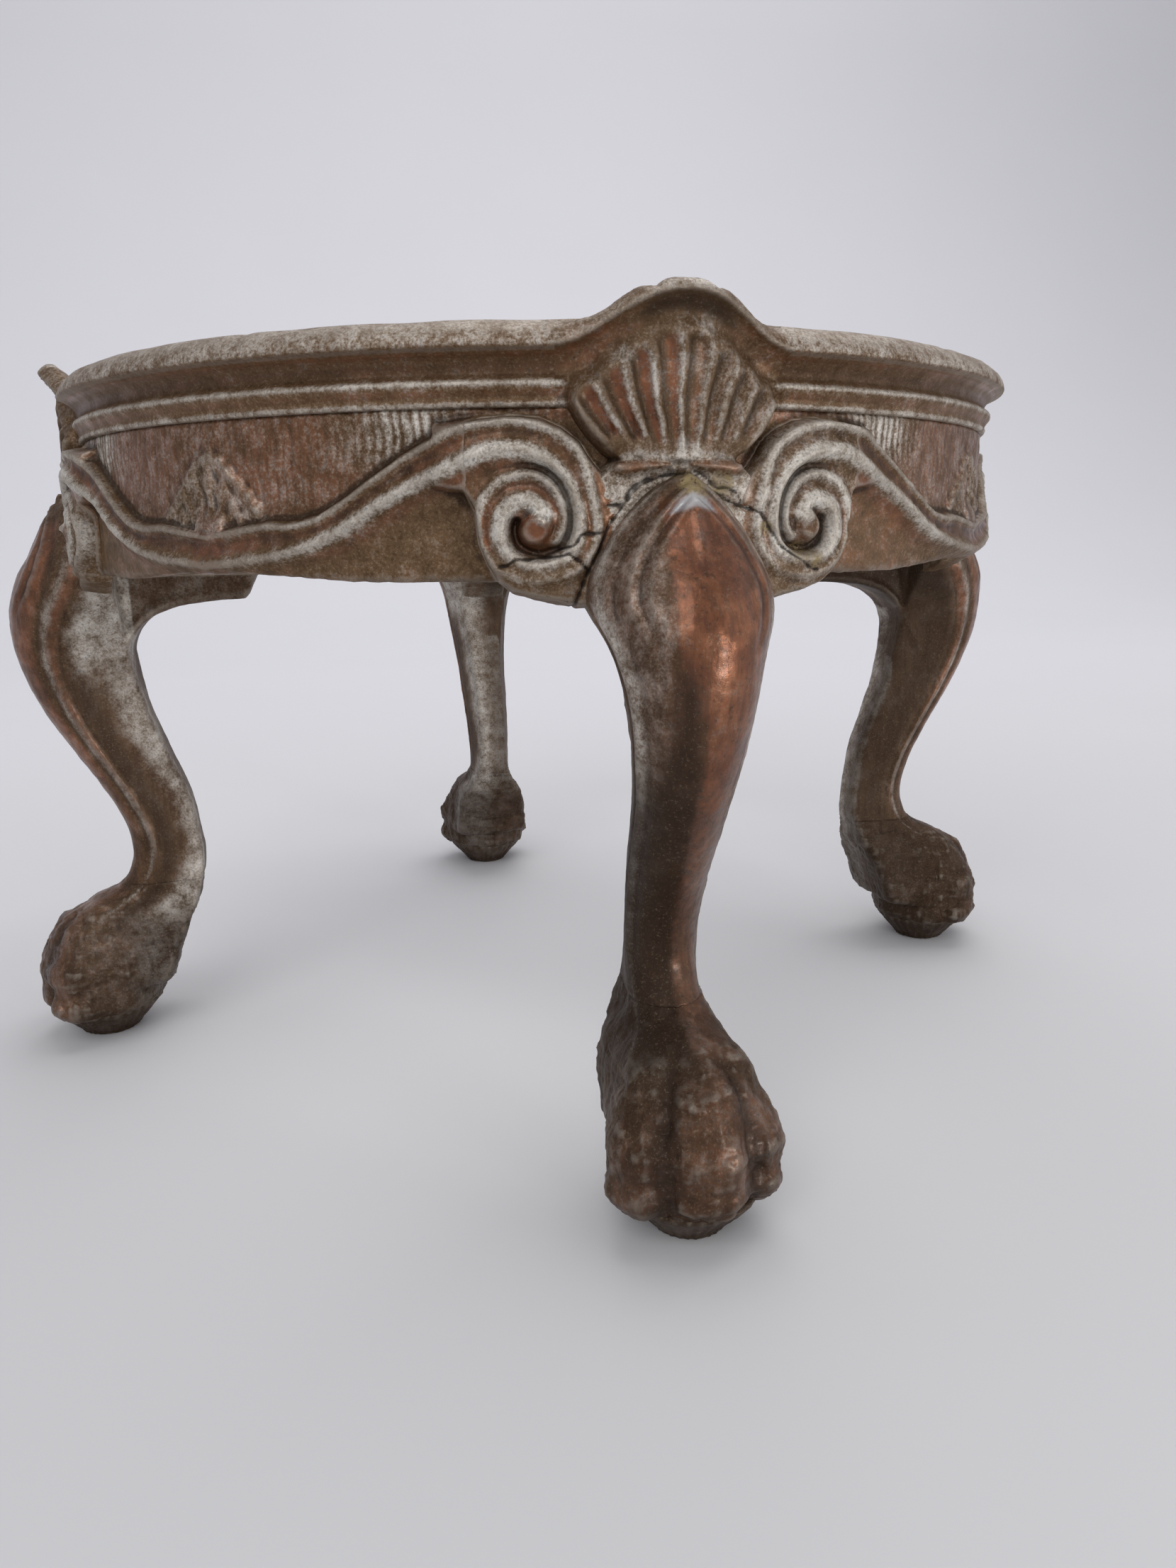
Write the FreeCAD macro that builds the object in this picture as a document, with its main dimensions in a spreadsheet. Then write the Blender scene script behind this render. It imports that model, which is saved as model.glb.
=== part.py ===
import FreeCAD, Part
import math
import os
import Sketcher
from FreeCAD import Placement, Rotation, Vector

# Round ring stand of cast white metal: a moulded rim and a scrolled apron
# on four cabriole legs with scallop shells and claw-and-ball feet.
# Millimetres, +Z up, origin on the floor under the middle of the ring.
# Each ornament is drawn for the leg that points along +X, then turned to its leg.

# Driving sizes. Radial sizes of a leg count outwards from the apron's face.
SIZES = {
    "apron_radius": 65.8, "apron_wall": 3.3, "apron_bottom": 71.5, "apron_height": 17.1,
    "rim_height": 8.4, "rim_step": 0.4, "rim_land": 0.7,
    "bead_height": 1.7, "bead_round": 0.9, "cove_height": 3.7, "cove_round": 3.4,
    "lip_reach": 2.8, "lip_height": 1.9, "lip_round": 1.5, "rim_round": 1.2,
    "scroll_relief": 2.2, "pendant_relief": 1.5, "pendant_width": 5.6, "pendant_height": 5.5,
    "palmette_relief": 1.1, "palmette_width": 16.4, "palmette_height": 8.5, "palmette_round": 24.0,
    "scroll_start": 7.0, "scroll_foot": 17.0, "scroll_waist": 21.0, "scroll_end": 37.0,
    "scroll_tail": 5.7, "scroll_rise": 10.4, "scroll_hip": 8.0, "scroll_round": 8.4,
    "scroll_hollow": 14.0, "scroll_under": 56.0,
    "volute_angle": 12.6, "volute_height": 5.5, "volute_half_width": 6.4, "volute_half_height": 8.6,
    "volute_reach": 3.6,
    "coil_relief": 1.1, "coil_width": 1.7, "coil_pitch": 3.0, "coil_ratio": 0.74, "coil_inset": 0.5,
    "shell_base": 4.0, "shell_foot": 3.4, "shell_crest": 5.7, "shell_hollow": 46.0,
    "crest_rise": 4.6, "crest_wall": 2.0, "crest_round": 1.1, "shell_angle": 26.0,
    "shell_root_width": 19.0, "shell_width": 23.6, "shell_belly": 13.0, "shell_belly_round": 16.0,
    "shell_neck_width": 17.0, "shell_shoulder_round": 14.0,
    "side_lobe_round": 3.4, "middle_lobe_width": 6.6, "middle_lobe_round": 5.0, "lobe_notch": 1.9,
    "fan_height": 3.2, "flute_angle": 9.0, "flute_start": 9.2, "flute_end": 21.3,
    "flute_lag": 0.14, "flute_lead": 0.09,
    "flute_round_low": 0.5, "flute_round_high": 1.2, "flute_bury_low": 0.3, "flute_bury_high": 0.7,
    "cheek_ratio": 0.42, "ridge_ratio": 1.25,
    "bracket_step": 0.6, "bracket_height": 11.0, "bracket_bury": 2.0, "bracket_width": 9.0,
    "bracket_reach": 21.6, "bracket_tip": 19.8, "bracket_drop": 4.4, "bracket_round": 14.5,
    "ball_round": 7.7, "ball_height": 8.1, "ball_out": 6.6, "pad_round": 5.0, "pad_height": 1.6,
    "toe_orbit": 7.2, "side_toe_orbit": 8.2, "toe_spread": 62.0,
    "root_angle": 66.0, "root_round": 2.3, "knuckle_angle": 26.0, "knuckle_round": 2.9,
    "joint_angle": -6.0, "joint_round": 2.2, "nail_angle": -36.0, "nail_round": 1.8,
    "point_angle": -56.0, "point_round": 0.8,
}
TOE_RINGS = ("root", "knuckle", "joint", "nail", "point")
FLUTES = 8
COIL_HALF_TURNS = 4
QUARTER = 90
# A tilt that keeps the sphere's poles and seam away from the claw's edges.
BALL_TILT = Rotation(Vector(1, 2, 3), 40)

# Sections of a leg from its pointed top to the heel: height, back, front, width and width at the back.
# The upper ones count up from the apron's bottom, the lower ones from the floor.
UPPER_SECTIONS = {
    "tip": (10.5, -1.6, 5.6, 1.6, 1.4),
    "arch": (7.5, -1.6, 6.3, 9.4, 9.0),
    "brow": (3.0, -1.6, 9.4, 17.6, 16.6),
    "hip": (-2.5, -2.0, 12.7, 19.4, 16.0),
    "knee": (-8.5, -2.3, 13.6, 15.8, 11.2),
    "calf": (-16.5, -3.0, 12.1, 12.8, 8.8),
}
LOWER_SECTIONS = {
    "shank": (46.0, -5.6, 7.7, 10.8, 7.0),
    "shin": (37.0, -8.8, 2.7, 9.4, 5.8),
    "ankle": (29.0, -10.1, 0.5, 8.4, 5.6),
    "instep": (24.0, -9.7, 2.4, 8.8, 6.8),
    "paw": (19.5, -8.4, 9.0, 14.6, 12.0),
    "heel": (8.6, -4.2, 11.4, 16.4, 15.0),
}
SECTION_SIZES = ("height", "back", "front", "width", "rear")
LEGS = {"right": 0, "back": 90, "left": 180, "front": 270}
APRONS = {"back_right": 45, "back_left": 135, "front_left": 225, "front_right": 315}

doc = FreeCAD.newDocument("ring_stand")
sheet = doc.addObject("Spreadsheet::Sheet", "Sizes")


def fill_sheet():
    sizes = dict(SIZES)
    for name, values in {**UPPER_SECTIONS, **LOWER_SECTIONS}.items():
        for size, value in zip(SECTION_SIZES, values):
            sizes[name + "_" + size] = value
    for row, (alias, value) in enumerate(sizes.items(), start=1):
        sheet.set("A%d" % row, alias)
        sheet.set("B%d" % row, str(value))
        sheet.setAlias("B%d" % row, alias)
    doc.recompute()


def value(formula):
    """The number that a formula of sheet names gives."""
    return float(sheet.evalExpression(str(formula)))


def add(kind, name, **formulas):
    """A new object whose properties follow formulas; two underscores stand for a dot."""
    item = doc.addObject(kind, name)
    for prop, formula in formulas.items():
        item.setExpression(prop.replace("__", "."), formula)
    return item


def shape_of(name, shape):
    item = doc.addObject("Part::Feature", name)
    item.Shape = shape
    return item


def cut(name, base, *tools):
    item = doc.addObject("Part::Cut", name)
    item.Base = base
    item.Tool = tools[0] if len(tools) == 1 else fuse(name + "_tools", *tools)
    return item


def fuse(name, *shapes):
    item = doc.addObject("Part::MultiFuse", name)
    item.Shapes = list(shapes)
    return item


def common(name, *shapes):
    item = doc.addObject("Part::MultiCommon", name)
    item.Shapes = list(shapes)
    return item


def turned(name, source, angle):
    """The same shape again, turned about the ring's axis."""
    item = doc.addObject("App::Link", name)
    item.LinkedObject = source
    item.LinkTransform = True
    item.Placement = Placement(Vector(), Rotation(Vector(0, 0, 1), angle))
    return item


def bent_side(start, end, radius):
    """An arc from start to end; it bulges to the right of its way, or to the left if negative."""
    chord = end - start
    inward = Vector(-chord.y, chord.x, 0).normalize()
    height = math.sqrt(max(radius ** 2 - chord.Length ** 2 / 4, 0))
    centre = (start + end) / 2 + inward * math.copysign(height, radius)
    first, last = (start, end) if radius > 0 else (end, start)
    angles = [math.atan2(p.y - centre.y, p.x - centre.x) for p in (first, last)]
    circle = Part.Circle(centre, Vector(0, 0, 1), abs(radius))
    return Part.ArcOfCircle(circle, *angles)


def draw(sketch, corners, bends=None):
    """A closed outline, counter-clockwise, through corners given as pairs of formulas.
    bends gives a radius formula for the side that leaves a corner, with a minus for a hollow."""
    bends = bends or {}
    spots = [Vector(value(x), value(y), 0) for x, y in corners]
    ends = []
    for i, start in enumerate(spots):
        end = spots[(i + 1) % len(spots)]
        if i in bends:
            radius = value(bends[i])
            sketch.addGeometry(bent_side(start, end, radius))
            ends.append((1, 2) if radius > 0 else (2, 1))
        else:
            sketch.addGeometry(Part.LineSegment(start, end))
            ends.append((1, 2))
    for i, (first, last) in enumerate(ends):
        after = (i + 1) % len(ends)
        sketch.addConstraint(Sketcher.Constraint("Coincident", i, last, after, ends[after][0]))
        for axis, formula, number in zip("XY", corners[i], spots[i]):
            limit = Sketcher.Constraint("Distance" + axis, -1, 1, i, first, number)
            sketch.setExpression("Constraints[%d]" % sketch.addConstraint(limit), formula)
        if i in bends:
            limit = Sketcher.Constraint("Radius", i, abs(value(bends[i])))
            sketch.setExpression("Constraints[%d]" % sketch.addConstraint(limit), "abs(%s)" % bends[i])


def sizes_in(formula):
    """Sheet names written as {name} become full formulas."""
    return formula.replace("{", "Sizes.").replace("}", "")


def outline(sketch, corners, bends=None):
    pairs = [tuple(sizes_in(str(number)) for number in corner) for corner in corners]
    draw(sketch, pairs, {i: sizes_in(str(radius)) for i, radius in (bends or {}).items()})


BORE = "({apron_radius} - {apron_wall})"
APRON_TOP = "({apron_bottom} + {apron_height})"
RIM_TOP = "({apron_bottom} + {apron_height} + {rim_height})"
CREST = "({apron_bottom} + {apron_height} + {rim_height} + {crest_rise})"
SHELL_BASE = "({apron_bottom} + {shell_base})"
UPRIGHT = Rotation(Vector(1, 0, 0), 90)
FACING_OUT = Rotation(Vector(0, 1, 0), Vector(0, 0, 1), Vector(1, 0, 0))


def free_sketch(name, rotation, corners, bends=None):
    sketch = doc.addObject("Sketcher::SketchObject", name)
    sketch.Placement = Placement(Vector(), rotation)
    outline(sketch, corners, bends)
    return sketch


def extruded_out(name, sketch, start, end):
    """A sketch that faces outwards, drawn out along +X between two radii."""
    item = doc.addObject("Part::Extrusion", name)
    item.Base = sketch
    item.DirMode = "Custom"
    item.Dir = Vector(1, 0, 0)
    item.Solid = True
    item.setExpression("LengthRev", "-(%s)" % sizes_in(start))
    item.setExpression("LengthFwd", sizes_in(end))
    return item


def upright_tube(name, inner, outer, bottom, height):
    """A ring with a plain square section."""
    wall = []
    for part, radius in (("outside", outer), ("inside", inner)):
        wall.append(add("Part::Cylinder", name + "_" + part, Radius=sizes_in(radius),
                        Height=sizes_in(height), Placement__Base__z=sizes_in(bottom)))
    return cut(name, *wall)


def make_rim():
    body = doc.addObject("PartDesign::Body", "rim_ring")
    sketch = body.newObject("Sketcher::SketchObject", "rim_profile")
    plane = [f for f in body.Origin.OriginFeatures if f.Role == "XZ_Plane"][0]
    sketch.AttachmentSupport = [(plane, "")]
    sketch.MapMode = "FlatFace"
    neck = "{apron_radius} + {rim_step}"
    lip = "{apron_radius} + {lip_reach}"
    bead_low = APRON_TOP + " + {rim_land}"
    bead_high = bead_low + " + {bead_height}"
    lip_low = bead_high + " + {cove_height}"
    lip_high = lip_low + " + {lip_height}"
    corners = [(BORE, APRON_TOP), (neck, APRON_TOP), (neck, bead_low), (neck, bead_high),
               (lip + " - {rim_step}", lip_low), (lip + " - {lip_round}", lip_high),
               (neck + " - {rim_round}", RIM_TOP), (BORE + " + {rim_round}", RIM_TOP),
               (BORE, RIM_TOP + " - {rim_round}")]
    bends = {2: "{bead_round}", 3: "-{cove_round}", 4: "{lip_round}", 7: "{rim_round}"}
    outline(sketch, corners, bends)
    turn = body.newObject("PartDesign::Revolution", "rim_turned")
    turn.Profile = sketch
    turn.ReferenceAxis = (sketch, ["V_Axis"])
    turn.Angle = 360
    return body


def leg_section(name, base):
    """A level cut through a leg: flat back, sides that draw in to it, and a front with a soft ridge."""
    size = {s: "{%s_%s}" % (name, s) for s in SECTION_SIZES}
    half, rear = size["width"] + " / 2", size["rear"] + " / 2"
    depth = "({cheek_ratio} * %s)" % size["width"]
    back = "{apron_radius} + " + size["back"]
    front = "{apron_radius} + " + size["front"]
    cheek = front + " - " + depth
    bend = "{ridge_ratio} * (%s ^ 2 + (%s) ^ 2) / (2 * %s)" % (depth, half, depth)
    corners = [(back, "-" + rear), (cheek, "-" + half), (front, "0"), (cheek, half), (back, rear)]
    sketch = free_sketch(name + "_section", Rotation(), corners, {1: bend, 2: bend})
    sketch.setExpression("Placement.Base.z", sizes_in(base + size["height"]))
    return sketch


def make_leg_blank():
    """The whole leg in one sweep of sections, before it is parted at the ankle."""
    sections = [leg_section(name, "{apron_bottom} + ") for name in UPPER_SECTIONS]
    sections += [leg_section(name, "") for name in LOWER_SECTIONS]
    loft = doc.addObject("Part::Loft", "leg_blank")
    loft.Sections = sections
    loft.Solid = True
    return loft


def make_bracket():
    """The arm behind a leg's top, which carries what stands in the ring."""
    top = "{apron_bottom} - {bracket_step}"
    low = "{apron_bottom} - {bracket_height}"
    corners = [("{apron_radius} - {bracket_bury}", low), ("{apron_radius}", low), ("{apron_radius}", top),
               ("{apron_radius} - {bracket_reach}", top),
               ("{apron_radius} - {bracket_tip}", "{apron_bottom} - {bracket_drop}")]
    arm = doc.addObject("Part::Extrusion", "bracket")
    arm.Base = free_sketch("bracket_profile", UPRIGHT, corners, {4: "-{bracket_round}"})
    arm.DirMode = "Custom"
    arm.Dir = Vector(0, 1, 0)
    arm.Solid = True
    arm.Symmetric = True
    arm.setExpression("LengthFwd", "Sizes.bracket_width")
    return arm


def make_foot_block():
    """Everything below the ankle joint."""
    span = "2 * (Sizes.apron_radius + Sizes.ball_out + Sizes.ball_round)"
    return add("Part::Box", "foot_block", Length=span, Width=span, Height="Sizes.instep_height",
               Placement__Base__y="-Sizes.apron_radius - Sizes.ball_out - Sizes.ball_round")


def make_ball():
    """The ball in the claw, with the flat pad it stands on."""
    centre = "Sizes.apron_radius + Sizes.ball_out"
    ball = doc.addObject("Part::Sphere", "ball_round_part")
    ball.Placement = Placement(Vector(), BALL_TILT)
    ball.setExpression("Radius", "Sizes.ball_round")
    ball.setExpression("Placement.Base.x", centre)
    ball.setExpression("Placement.Base.z", "Sizes.ball_height")
    pad = add("Part::Cylinder", "ball_pad", Radius="Sizes.pad_round", Height="Sizes.pad_height",
              Placement__Base__x=centre)
    return fuse("foot_ball", ball, pad)


def make_toe(name, spread, orbit):
    """A bent toe round the ball: rings along an orbit, wide at the knuckle and thin at the nail."""
    rings = []
    for joint in TOE_RINGS:
        angle = math.radians(value("Sizes.%s_angle" % joint))
        spot = Vector(math.cos(angle), 0, math.sin(angle)) * orbit
        way = Vector(-math.sin(angle), 0, math.cos(angle))
        rings.append(Part.Wire(Part.makeCircle(value("Sizes.%s_round" % joint), spot, way)))
    toe = Part.makeLoft(rings, True)
    toe.rotate(Vector(), Vector(0, 0, 1), spread)
    out = value("Sizes.apron_radius + Sizes.ball_out")
    toe.translate(Vector(out, 0, value("Sizes.ball_height")))
    return shape_of(name, toe)


def make_volute(name, hand, wall, leg):
    """An oval boss with a coiled band on its face, to one side of a leg."""
    angle = hand * value("Sizes.volute_angle")
    middle = value("Sizes.apron_bottom + Sizes.volute_height")
    half_width, half_height = value("Sizes.volute_half_width"), value("Sizes.volute_half_height")
    face = value("Sizes.apron_radius + Sizes.volute_reach")
    back = value("Sizes.apron_radius - Sizes.apron_wall")
    rim = Part.Ellipse(Vector(0, half_height, 0), Vector(half_width, 0, 0), Vector())
    boss = Part.Face(Part.Wire(rim.toShape())).extrude(Vector(0, 0, face - back))
    flat_coil = Part.Face(coil_wire(half_height - value("Sizes.coil_inset")))
    coil = flat_coil.extrude(Vector(0, 0, value("Sizes.coil_relief")))
    coil.translate(Vector(0, 0, face - back))
    if hand > 0:
        coil = coil.mirror(Vector(), Vector(1, 0, 0))
    whole = boss.fuse(coil)
    whole.Placement = Placement(Vector(back, 0, middle), FACING_OUT)
    whole.rotate(Vector(), Vector(0, 0, 1), angle)
    blank = shape_of(name + "_blank", whole)
    return cut(name, blank, wall, leg), blank


def coil_wire(reach):
    """Two coils of half ellipses, one inside the other, closed into a band."""
    step, width = value("Sizes.coil_pitch") / 2, value("Sizes.coil_width")
    ratio = value("Sizes.coil_ratio")

    def coil(start):
        edges = []
        for turn in range(COIL_HALF_TURNS):
            side = 1 if turn % 2 == 0 else -1
            top, bottom = start - step * turn, start - step * (turn + 1)
            centre = Vector(0, side * (top - bottom) / 2, 0)
            radius = (top + bottom) / 2
            beside = centre - Vector(radius * ratio, 0, 0)
            oval = Part.Ellipse(centre + Vector(0, radius, 0), beside, centre)
            half = (math.pi, 2 * math.pi) if side > 0 else (0, math.pi)
            edges.append(Part.ArcOfEllipse(oval, *half).toShape())
        side = 1 if COIL_HALF_TURNS % 2 == 0 else -1
        return edges, Vector(0, start, 0), Vector(0, side * (start - step * COIL_HALF_TURNS), 0)

    outer, outer_start, outer_end = coil(reach)
    inner, inner_start, inner_end = coil(reach - width)
    closing = [Part.makeLine(outer_start, inner_start), Part.makeLine(outer_end, inner_end)]
    return Part.Wire(Part.__sortEdges__(outer + inner + closing))


def shell_front(height):
    """Radius of the shell's hollow front at a height."""
    foot = value("Sizes.apron_radius + Sizes.shell_foot")
    base = value("Sizes.apron_bottom + Sizes.shell_base")
    tip = value("Sizes.apron_radius + Sizes.shell_crest")
    crest = value(sizes_in(CREST + " - {crest_round}"))
    arc = bent_side(Vector(foot, base), Vector(tip, crest), -value("Sizes.shell_hollow"))
    return arc.Center.x - math.sqrt(arc.Radius ** 2 - (height - arc.Center.y) ** 2)


def make_flute(angle):
    """A tapering channel that follows the shell's hollow front; the outer ones are shorter."""
    base = value("Sizes.apron_bottom + Sizes.fan_height")
    start = value("Sizes.flute_start") + value("Sizes.flute_lag") * abs(angle)
    end = value("Sizes.flute_end") - value("Sizes.flute_lead") * abs(angle)
    low, high = value("Sizes.flute_round_low"), value("Sizes.flute_round_high")
    bury_low, bury_high = value("Sizes.flute_bury_low"), value("Sizes.flute_bury_high")
    rings = []
    for share in (0, 0.5, 1):
        along = start + (end - start) * share
        height = base + along * math.cos(math.radians(angle))
        radius = low + (high - low) * share
        front = shell_front(height) + radius - bury_low - (bury_high - bury_low) * share
        side = along * math.sin(math.radians(angle)) / front
        spot = Vector(front * math.cos(side), front * math.sin(side), height)
        way = Vector(0, math.sin(math.radians(angle)), math.cos(math.radians(angle)))
        rings.append(Part.Wire(Part.makeCircle(radius, spot, way)))
    return Part.makeLoft(rings, True)


def make_shell_blank():
    """The shell's side profile, turned about the ring's axis."""
    crest = CREST + " - {crest_round}"
    tip = "{apron_radius} + {shell_crest}"
    corners = [("{apron_radius}", SHELL_BASE), ("{apron_radius} + {shell_foot}", SHELL_BASE),
               (tip, crest), (tip + " - {crest_wall}", crest),
               ("{apron_radius} + {rim_step}", RIM_TOP + " - {rim_round}")]
    bends = {1: "-{shell_hollow}", 2: "{crest_round}"}
    blank = doc.addObject("Part::Revolution", "shell_blank")
    blank.Source = free_sketch("shell_profile", UPRIGHT, corners, bends)
    blank.Axis = Vector(0, 0, 1)
    blank.Symmetric = True
    blank.Solid = True
    blank.setExpression("Angle", "Sizes.shell_angle")
    return blank


def make_shell_outline():
    """The fan seen from the front: a round belly, a neck at the rim and three lobes on top."""
    right = [("{shell_root_width} / 2", SHELL_BASE),
             ("{shell_width} / 2", SHELL_BASE + " + {shell_belly}"),
             ("{shell_neck_width} / 2", RIM_TOP),
             ("{middle_lobe_width} / 2", RIM_TOP + " + {lobe_notch}")]
    left = [("-" + across, up) for across, up in reversed(right)]
    bends = {0: "{shell_belly_round}", 1: "{shell_shoulder_round}", 2: "{side_lobe_round}",
             3: "{middle_lobe_round}",
             4: "{side_lobe_round}", 5: "{shell_shoulder_round}", 6: "{shell_belly_round}"}
    sketch = free_sketch("shell_outline", FACING_OUT, right + left, bends)
    clear = "{apron_radius} + {shell_crest} + {crest_wall}"
    return extruded_out("shell_fan", sketch, BORE, clear)


def make_shell(fan, *neighbours):
    plain = common("shell_plain", make_shell_blank(), fan)
    middle = (FLUTES - 1) / 2
    spacing = value("Sizes.flute_angle")
    flutes = [make_flute((i - middle) * spacing) for i in range(FLUTES)]
    channels = shape_of("shell_flutes", Part.makeCompound(flutes))
    fluted = cut("shell_fluted", plain, channels)
    return cut("shell", fluted, *neighbours)


def make_apron(wall, left_neighbours, right_neighbours):
    """A quarter of the ring's wall with a scroll to each side of a pendant leaf."""
    quarter = add("Part::Cylinder", "apron_sector", Radius="2 * Sizes.apron_radius",
                  Height="2 * Sizes.apron_bottom")
    quarter.Angle = QUARTER
    quarter.Placement = Placement(Vector(), Rotation(Vector(0, 0, 1), -QUARTER / 2))
    foot = "{apron_bottom}"
    leaf_foot = foot + " + {pendant_height}"
    pendant = [("-{pendant_width} / 2", foot), ("{pendant_width} / 2", foot),
               ("{pendant_width} / 2", leaf_foot), ("-{pendant_width} / 2", leaf_foot)]
    leaf = [("-{palmette_width} / 2", leaf_foot), ("{palmette_width} / 2", leaf_foot),
            ("0", leaf_foot + " + {palmette_height}")]
    leaf_bends = {1: "{palmette_round}", 2: "{palmette_round}"}
    scroll = [("{pendant_width} / 2", foot), ("{scroll_foot}", foot),
              ("{scroll_end}", foot + " + {scroll_hip}"),
              ("{scroll_waist}", foot + " + {scroll_rise}"),
              ("{scroll_start}", foot + " + {scroll_tail}"),
              ("{pendant_width} / 2", foot + " + {scroll_tail}")]
    bends = {1: "-{scroll_under}", 2: "{scroll_round}", 3: "-{scroll_hollow}"}
    mirrored = [("-(%s)" % across, up) for across, up in reversed(scroll)]
    mirrored_bends = {len(scroll) - 2 - i: bend for i, bend in bends.items()}
    forms = {
        "scroll_right": (scroll, bends, "{scroll_relief}", right_neighbours),
        "scroll_left": (mirrored, mirrored_bends, "{scroll_relief}", left_neighbours),
        "pendant": (pendant, {}, "{pendant_relief}", []),
        "palmette": (leaf, leaf_bends, "{palmette_relief}", []),
    }
    reliefs = []
    for name, (corners, bends, relief, neighbours) in forms.items():
        sketch = free_sketch(name + "_outline", FACING_OUT, corners, bends)
        block = extruded_out(name + "_block", sketch, "{apron_radius} / 2", "2 * {apron_radius}")
        if neighbours:
            block = cut(name + "_trimmed", block, *neighbours)
        skin = upright_tube(name + "_skin", "{apron_radius}", "{apron_radius} + " + relief,
                            "{apron_bottom}", "{apron_height}")
        reliefs.append(common(name, block, skin))
    return fuse("apron", common("apron_quarter", wall, quarter), *reliefs)


def check():
    doc.recompute()
    for item in doc.Objects:
        if "Invalid" in item.State or "Error" in item.State:
            raise RuntimeError("%s failed: %s" % (item.Name, item.State))


def build():
    fill_sheet()
    rim = make_rim()
    wall = upright_tube("ring_wall", BORE, "{apron_radius}", "{apron_bottom}", "{apron_height}")
    blank = make_leg_blank()
    doc.recompute()
    foot_block = make_foot_block()
    leg = cut("leg", fuse("leg_whole", blank, make_bracket()), foot_block, wall)
    ball = make_ball()
    spread, side_orbit = value("Sizes.toe_spread"), value("Sizes.side_toe_orbit")
    toes = [make_toe("toe_left", -spread, side_orbit), make_toe("toe_right", spread, side_orbit),
            make_toe("toe_middle", 0, value("Sizes.toe_orbit"))]
    claw = cut("claw", fuse("claw_blank", common("paw_blank", blank, foot_block), *toes), ball)
    left_volute, left_blank = make_volute("volute_left", -1, wall, leg)
    right_volute, right_blank = make_volute("volute_right", 1, wall, leg)
    doc.recompute()
    fan = make_shell_outline()
    shell = make_shell(fan, rim, wall, leg, left_volute, right_volute)
    half = QUARTER / 2
    at_left = [turned(item.Name + "_at_left", item, -half) for item in (fan, blank, right_blank)]
    at_right = [turned(item.Name + "_at_right", item, half) for item in (fan, blank, left_blank)]
    apron = make_apron(wall, at_left, at_right)
    check()
    pieces = {"rim_ring": rim}
    for name, angle in APRONS.items():
        pieces[name + "_apron"] = turned(name + "_apron", apron, angle)
    sources = {"leg": leg, "leg_shell": shell, "leg_volute_left": left_volute,
               "leg_volute_right": right_volute, "claw_foot": claw, "foot_ball": ball}
    for side, angle in LEGS.items():
        for part, source in sources.items():
            pieces[side + "_" + part] = turned(side + "_" + part, source, angle)
    check()
    return pieces


def export(pieces):
    os.makedirs("parts", exist_ok=True)
    for name, piece in pieces.items():
        piece.Label = name
        shape = Part.getShape(piece)
        if shape.isNull() or not shape.isValid():
            raise RuntimeError(name + " has no valid shape")
        print("%-26s solids %d volume %.1f" % (name, len(shape.Solids), shape.Volume))
        shape.exportStep("parts/%s.step" % name)


export(build())
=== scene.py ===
import math

import bpy
import numpy as np
import openvdb
from mathutils import Matrix, Vector

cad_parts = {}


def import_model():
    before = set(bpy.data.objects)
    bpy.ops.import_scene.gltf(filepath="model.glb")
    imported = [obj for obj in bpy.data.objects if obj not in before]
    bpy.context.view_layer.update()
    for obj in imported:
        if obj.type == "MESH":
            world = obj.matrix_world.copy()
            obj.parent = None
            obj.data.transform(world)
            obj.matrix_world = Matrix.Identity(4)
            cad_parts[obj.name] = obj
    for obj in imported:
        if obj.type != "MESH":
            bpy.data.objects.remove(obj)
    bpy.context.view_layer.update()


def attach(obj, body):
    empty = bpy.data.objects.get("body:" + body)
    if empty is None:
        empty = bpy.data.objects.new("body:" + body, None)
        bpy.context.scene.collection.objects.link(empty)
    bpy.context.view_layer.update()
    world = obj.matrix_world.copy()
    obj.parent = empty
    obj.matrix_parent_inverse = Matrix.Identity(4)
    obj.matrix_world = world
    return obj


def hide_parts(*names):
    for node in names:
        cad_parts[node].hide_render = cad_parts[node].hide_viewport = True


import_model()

# Lengths below are millimetres. A leg's ornament is drawn for a leg along +X and turned to its place.
# arc runs along the apron's face from a leg's middle, to the right as seen from outside.
MM = 0.001
APRON_R = 65.8
APRON_TOP = 88.65
CASTING_BACK = 64.6
RIM_OUT = 68.58
LIP_UP = 94.0
QUARTER_ARC = APRON_R * math.pi / 4
LEGS = {"right": 0, "back": 90, "left": 180, "front": 270}
APRONS = {"back_right": 45, "back_left": 135, "front_left": 225, "front_right": 315}
rng = np.random.default_rng(7)


def curve(*points):
    """A smooth function through points given in rising order."""
    xs, ys = np.array(points, float).T
    slopes = np.gradient(ys, xs)

    def at(x):
        x = np.clip(x, xs[0], xs[-1])
        i = np.clip(np.searchsorted(xs, x) - 1, 0, len(xs) - 2)
        width = xs[i + 1] - xs[i]
        t = (x - xs[i]) / width
        ends = ys[i] * (1 + 2 * t) * (1 - t) ** 2 + ys[i + 1] * t * t * (3 - 2 * t)
        return ends + width * (slopes[i] * t * (1 - t) ** 2 + slopes[i + 1] * t * t * (t - 1))
    return at


def ramp(x, low, high):
    """From 0 to 1 as x goes from low to high, with soft ends."""
    t = np.clip((x - low) / (high - low), 0, 1)
    return t * t * (3 - 2 * t)


def bump(x, width):
    """A smooth hill of height 1 at 0."""
    return np.exp(-(x / width) ** 2)


def join(a, b, soft):
    """Union of two fields with a fillet."""
    h = np.clip(0.5 + 0.5 * (b - a) / soft, 0, 1)
    return b + (a - b) * h - soft * h * (1 - h)


def meet(a, b, soft):
    """What two fields share, with a rounded edge."""
    return -join(-a, -b, soft)


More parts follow.
